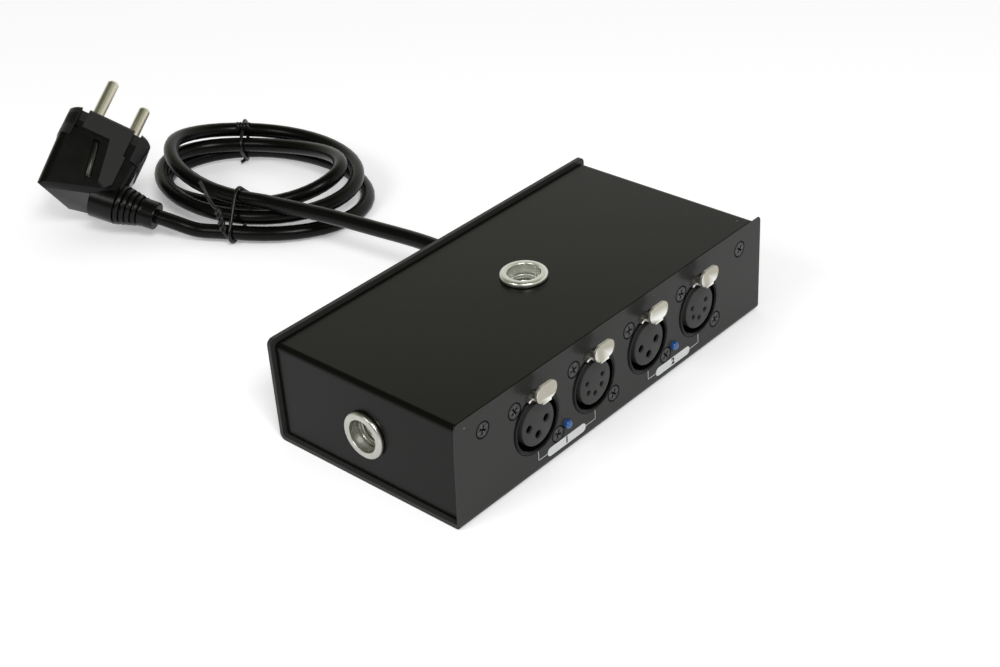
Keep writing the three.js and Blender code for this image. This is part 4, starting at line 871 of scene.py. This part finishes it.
def twist(start, run, length, turns, spread):
    """Two wires wound round each other from a place along a direction."""
    run = run.normalized()
    side = run.orthogonal().normalized()
    other = run.cross(side)
    steps = STEPS_PER_TWIST * turns
    runs = []
    for phase in (0, math.pi):
        wire = []
        for step in range(steps + 1):
            angle = phase + 2 * math.pi * turns * step / steps
            aside = (side * math.cos(angle) + other * math.sin(angle)) * spread
            wire.append(start + run * length * step / steps + aside)
        runs.append((wire, False))
    return runs


def beside(ring, turn, places):
    """Places from the foot of a ring, given as mm along the strands, outward and up."""
    foot = min(ring, key=lambda p: p.z)
    outward = coil_outward(turn)
    along = Vector((0, 0, 1)).cross(outward)
    return [foot + along * a + outward * b + Vector((0, 0, c)) for a, b, c in places]


def wire_end(ring, turn, places):
    """A free end of a tie's wire, which is an open run."""
    return through(beside(ring, turn, places), 1), False


front_ring = tie_ring(FRONT_TURN)
braid_top, braid_foot = beside(front_ring, FRONT_TURN, [(-3, 4.6, 15.8), (-2.2, 3.8, 6.4)])
long_end = wire_end(front_ring, FRONT_TURN, [(-3.2, 4.7, 16.4), (-4.2, 5.6, 18.6), (-5.8, 5.2, 21.4),
                                             (-8, 3.9, 24.6), (-9.8, 2.6, 27)])
short_end = wire_end(front_ring, FRONT_TURN, [(-2.6, 3.9, 6.8), (-1.4, 3.2, 4), (-0.2, 1.4, 1.2)])
braid_run = braid_foot - braid_top
braid = twist(braid_top, braid_run, length=braid_run.length, turns=2, spread=0.8)
front_tie = swept("wire_tie_front", [(front_ring, True), long_end, short_end] + braid,
                  WIRE_RADIUS, WIRE_FINENESS, tie_black)
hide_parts("tie_front")
rear_ring = tie_ring(REAR_TURN)
rear_along = Vector((0, 0, 1)).cross(coil_outward(REAR_TURN))
knot_start = max(rear_ring, key=lambda p: p.z) - coil_outward(REAR_TURN) * KNOT_INWARD
knot_start -= Vector((0, 0, KNOT_SUNK)) + rear_along * KNOT_LENGTH / 2
knot = twist(knot_start, rear_along, length=KNOT_LENGTH, turns=2, spread=1.15)
rear_end = wire_end(rear_ring, REAR_TURN, [(0, -1.6, 1.6), (0.6, -3.6, 1), (1.5, -5, 0.9)])
rear_tie = swept("wire_tie_rear", [(rear_ring, True), rear_end] + knot,
                 WIRE_RADIUS, WIRE_FINENESS, tie_black)
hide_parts("tie_rear")


# Plug
# Angled plug, moulded in glossy black rubber over the cord with a ribbed boot, and a satin grip round it.
# Two nickel plated round pins stand out of its face, and each flat side holds a sprung earth clip.
BODY_TURN = math.radians(-37)
CORNER_STEPS = 6
HEAD_HALF, HEAD_THICK, HEAD_CORNER, HEAD_FOOT, HEAD_BEVEL = 17.5, 15.5, 8.5, -8.2, 1
EAR_INSIDE, EAR_TOP, EAR_FOOT = 12.6, -3.0, -12.5
TRUNK_HALF_BACK, TRUNK_HALF_FRONT, TRUNK_CORNER = 15.4, 17.4, 3.5
TRUNK_BACK, TRUNK_FRONT = -45, -5
MOULD_ASIDE = -0.9
GAP_WIDTH, GAP_DEPTH, GAP_PAST = 3.0, 5.0, 2
SIDE_FACE = 12.3
RECESS_HALF, RECESS_FOOT, RECESS_TOP = 6.5, -26, -6.5
MOULDING_EDGE, GRIP_EDGE, PIN_EDGE = 0.7, 0.45, 0.15
plug_black = finish_of("plug_rubber", (0.0022, 0.0022, 0.0021), 0.26, grain_scale=130, grain_bump=0.4,
                       cloud_scale=50, shade=0.25, specular=0.2)
plug_satin = finish_of("plug_grip", (0.009, 0.0093, 0.0091), 0.5, grain_scale=1300, grain_bump=0.08,
                       cloud_scale=90, shade=0.35, specular=0.3)
clip_metal = finish_of("clip_plate", (0.05, 0.05, 0.046), 0.34, metal=1.0, grain_scale=500, grain_bump=0.05,
                       shade=0.3, cloud_scale=200, rough_shift=0.12)
nickel = finish_of("nickel_plate", (0.66, 0.62, 0.52), 0.32, metal=1.0, grain_scale=500, grain_bump=0.05,
                   shade=0.15, cloud_scale=120, rough_shift=0.12)


def lofted(name, sections):
    """A solid up through rounded rectangles (half width, half thickness, corner, height) in mm."""
    verts = []
    for half_x, half_y, corner, height in sections:
        for way_x, way_y, quarter in ((1, -1, -1), (1, 1, 0), (-1, 1, 1), (-1, -1, 2)):
            for step in range(CORNER_STEPS + 1):
                angle = (quarter + step / CORNER_STEPS) * math.pi / 2
                verts.append(Vector((way_x * (half_x - corner) + corner * math.cos(angle),
                                     way_y * (half_y - corner) + corner * math.sin(angle), height)) * MM)
    count = 4 * (CORNER_STEPS + 1)
    faces = [tuple(reversed(range(count))), tuple(range(len(verts) - count, len(verts)))]
    for foot in range(0, len(verts) - count, count):
        for i in range(count):
            j = (i + 1) % count
            faces.append((foot + i, foot + j, foot + j + count, foot + i + count))
    return mesh_of(name, verts, faces)


def sliced(mesh, planes):
    """The mesh cut off at planes. A plane is three places in mm, or a place and the way out."""
    inside = Vector((0, 0, -20))
    work = bmesh.new()
    work.from_mesh(mesh)
    for plane in planes:
        places = [Vector(place) for place in plane]
        outward = places[1]
        if len(places) == 3:
            outward = (places[1] - places[0]).cross(places[2] - places[0])
            if outward.dot(inside - places[0]) > 0:
                outward.negate()
        bmesh.ops.bisect_plane(work, geom=work.verts[:] + work.edges[:] + work.faces[:], dist=1e-7,
                               plane_co=places[0] * MM, plane_no=outward, clear_outer=True)
        bmesh.ops.holes_fill(work, edges=[edge for edge in work.edges if edge.is_boundary])
    work.to_mesh(mesh)
    work.free()
    return mesh


# The moulding: a trunk that narrows to a slanted back, with its face at height nought and its clip sides
# square to Y, and the boot that leaves it at a slant
BACK_LEFT, BACK_MIDDLE, BACK_RIGHT = (-13.8, -9.5, -36.2), (3.1, -9.5, -30.5), (15, 15.5, -27.7)
BACK_FAR = (-2.6, 10, -33.4)
BACK_PLANES = [(BACK_LEFT, BACK_MIDDLE, BACK_RIGHT), (BACK_LEFT, BACK_FAR, (-15.8, 15.5, -27.8)),
               (BACK_FAR, BACK_RIGHT, (-2.9, 15.5, -31.5)), (BACK_LEFT, BACK_MIDDLE, (-15.7, -12.3, -34.9))]
trunk_thick = (HEAD_THICK + SIDE_FACE) / 2
trunk = lofted("trunk", [(TRUNK_HALF_BACK, trunk_thick, TRUNK_CORNER, TRUNK_BACK),
                         (TRUNK_HALF_FRONT, trunk_thick, TRUNK_CORNER, TRUNK_FRONT)])
trunk.transform(Matrix.Translation(Vector((MOULD_ASIDE, (HEAD_THICK - SIDE_FACE) / 2, 0)) * MM))
sliced(trunk, BACK_PLANES)
BOOT_FOOT, BOOT_RADIUS, BOOT_NARROWS = 6, 8.4, 0.25
RIBS, RIBS_START, RIB_STEP = 5, 16.9, 2.25
RIB_PROFILE = [(0, -0.65), (-1.0, -0.4), (-1.0, 0.3), (-0.15, 0.6)]
boot_profile = [(0, BOOT_FOOT), (BOOT_RADIUS, BOOT_FOOT), (BOOT_RADIUS, RIBS_START - 1)]
for rib in range(RIBS):
    at = RIBS_START + RIB_STEP * rib
    full = BOOT_RADIUS - BOOT_NARROWS * (at - RIBS_START)
    boot_profile += [(full + outward, at + along) for outward, along in RIB_PROFILE]
boot_profile += [(5.75, 27.5), (5.7, BOOT_END - 0.7), (5.5, BOOT_END - 0.2), (5, BOOT_END), (0, BOOT_END)]
boot = lathe_mesh("boot", boot_profile, 48, Matrix.Translation((0, 0, -BOOT_DEPTH * MM))
                  @ Matrix.Rotation(BOOT_TURN - BODY_TURN, 4, "Z") @ Matrix.Rotation(math.pi / 2, 4, "Y"))
moulding = cut_from(trunk, [boot], "plug", "UNION")

# The grip: a head round the face, a leg down the near side and two ears, less the gaps beside the ears and
# the recess of the far clip
LEG_OUTLINE = [(-6, -4), (2.2, -8.2), (2.9, -12), (5.2, -26.2), (8.5, -27.5), (10.6, -25), (10.6, -4)]
head = lofted("head", [(HEAD_HALF, HEAD_THICK, HEAD_CORNER, HEAD_FOOT),
                       (HEAD_HALF, HEAD_THICK, HEAD_CORNER, -HEAD_BEVEL),
                       (HEAD_HALF - HEAD_BEVEL, HEAD_THICK - HEAD_BEVEL, HEAD_CORNER - HEAD_BEVEL, 0)])
added = [drawn_through("leg", LEG_OUTLINE, -HEAD_THICK, 0)]
taken = []
for side in (1, -1):
    ear = lofted("ear", [(HEAD_HALF, HEAD_THICK, HEAD_CORNER, height) for height in (EAR_FOOT, EAR_TOP)])
    added.append(sliced(ear, [((side * EAR_INSIDE, 0, 0), (-side, 0, 0))]))
    for face in (1, -1):
        low_x, high_x = sorted((side * (EAR_INSIDE - GAP_WIDTH), side * EAR_INSIDE))
        low_y, high_y = sorted((face * (HEAD_THICK - GAP_DEPTH), face * (HEAD_THICK + GAP_PAST)))
        taken.append(block_mesh("gap", (low_x, low_y, EAR_FOOT), (high_x, high_y, GAP_PAST)))
taken.append(block_mesh("far_recess", (-RECESS_HALF, SIDE_FACE, RECESS_FOOT),
                        (RECESS_HALF, HEAD_THICK + GAP_PAST, RECESS_TOP)))
grip = cut_from(cut_from(head, added, "grip", "UNION"), taken, "grip")
grip.transform(Matrix.Translation((MOULD_ASIDE * MM, 0, 0)))
plug_turn = Matrix((plug_line, plug_across, pin_line)).transposed().to_4x4()
body_place = Matrix.Translation(PLUG_FACE * MM) @ plug_turn @ Matrix.Rotation(BODY_TURN, 4, "Z")
for name, mesh, rubber, edge in (("plug_moulding", moulding, plug_black, MOULDING_EDGE),
                                 ("plug_grip", grip, plug_satin, GRIP_EDGE)):
    mesh.transform(body_place)
    plug = add_object(name, mesh, rubber, "case")
    rounded_over(plug, edge, segments=3, angle=35)
    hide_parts("plug_body")
for node in ("plug_pin_upper", "plug_pin_lower"):
    softened(node, node + "_plated", "case", nickel, PIN_EDGE)

# The sprung earth clips: a thin hollowed strip bowed out of each side
CLIP_FOOT, CLIP_TIP, CLIP_HALF, CLIP_THICK = -25.6, -10.0, 1.15, 0.4
CLIP_RISE, CLIP_BOW, CLIP_HOLLOW = 0.3, 1.4, 0.55
CLIP_LEAN, CLIP_ASIDE = -3.0, -0.2
CLIP_ROWS, CLIP_COLUMNS = 16, 6
for word, side in (("near", -1), ("far", 1)):
    verts = []
    faces = []
    for row in range(CLIP_ROWS + 1):
        share = row / CLIP_ROWS
        bow = CLIP_BOW * 4 * share * (1 - share)
        for column in range(CLIP_COLUMNS + 1):
            across = 2 * column / CLIP_COLUMNS - 1
            rise = SIDE_FACE + CLIP_RISE + bow + CLIP_HOLLOW * (1 - across ** 2)
            verts.append(Vector((across * CLIP_HALF + CLIP_ASIDE + CLIP_LEAN * share, side * rise,
                                 CLIP_FOOT + (CLIP_TIP - CLIP_FOOT) * share)) * MM)
            if row < CLIP_ROWS and column < CLIP_COLUMNS:
                here = len(verts) - 1
                above = here + CLIP_COLUMNS + 1
                faces.append((here, here + 1, above + 1, above))
    clip_mesh = mesh_of(f"earth_clip_{word}", verts, faces)
    clip_mesh.transform(body_place)
    clip = add_object(f"earth_clip_{word}", clip_mesh, clip_metal, "case")
    sheet = clip.modifiers.new("sheet", "SOLIDIFY")
    sheet.thickness = CLIP_THICK * MM
    sheet.offset = 0
    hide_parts(f"plug_earth_clip_{word}")
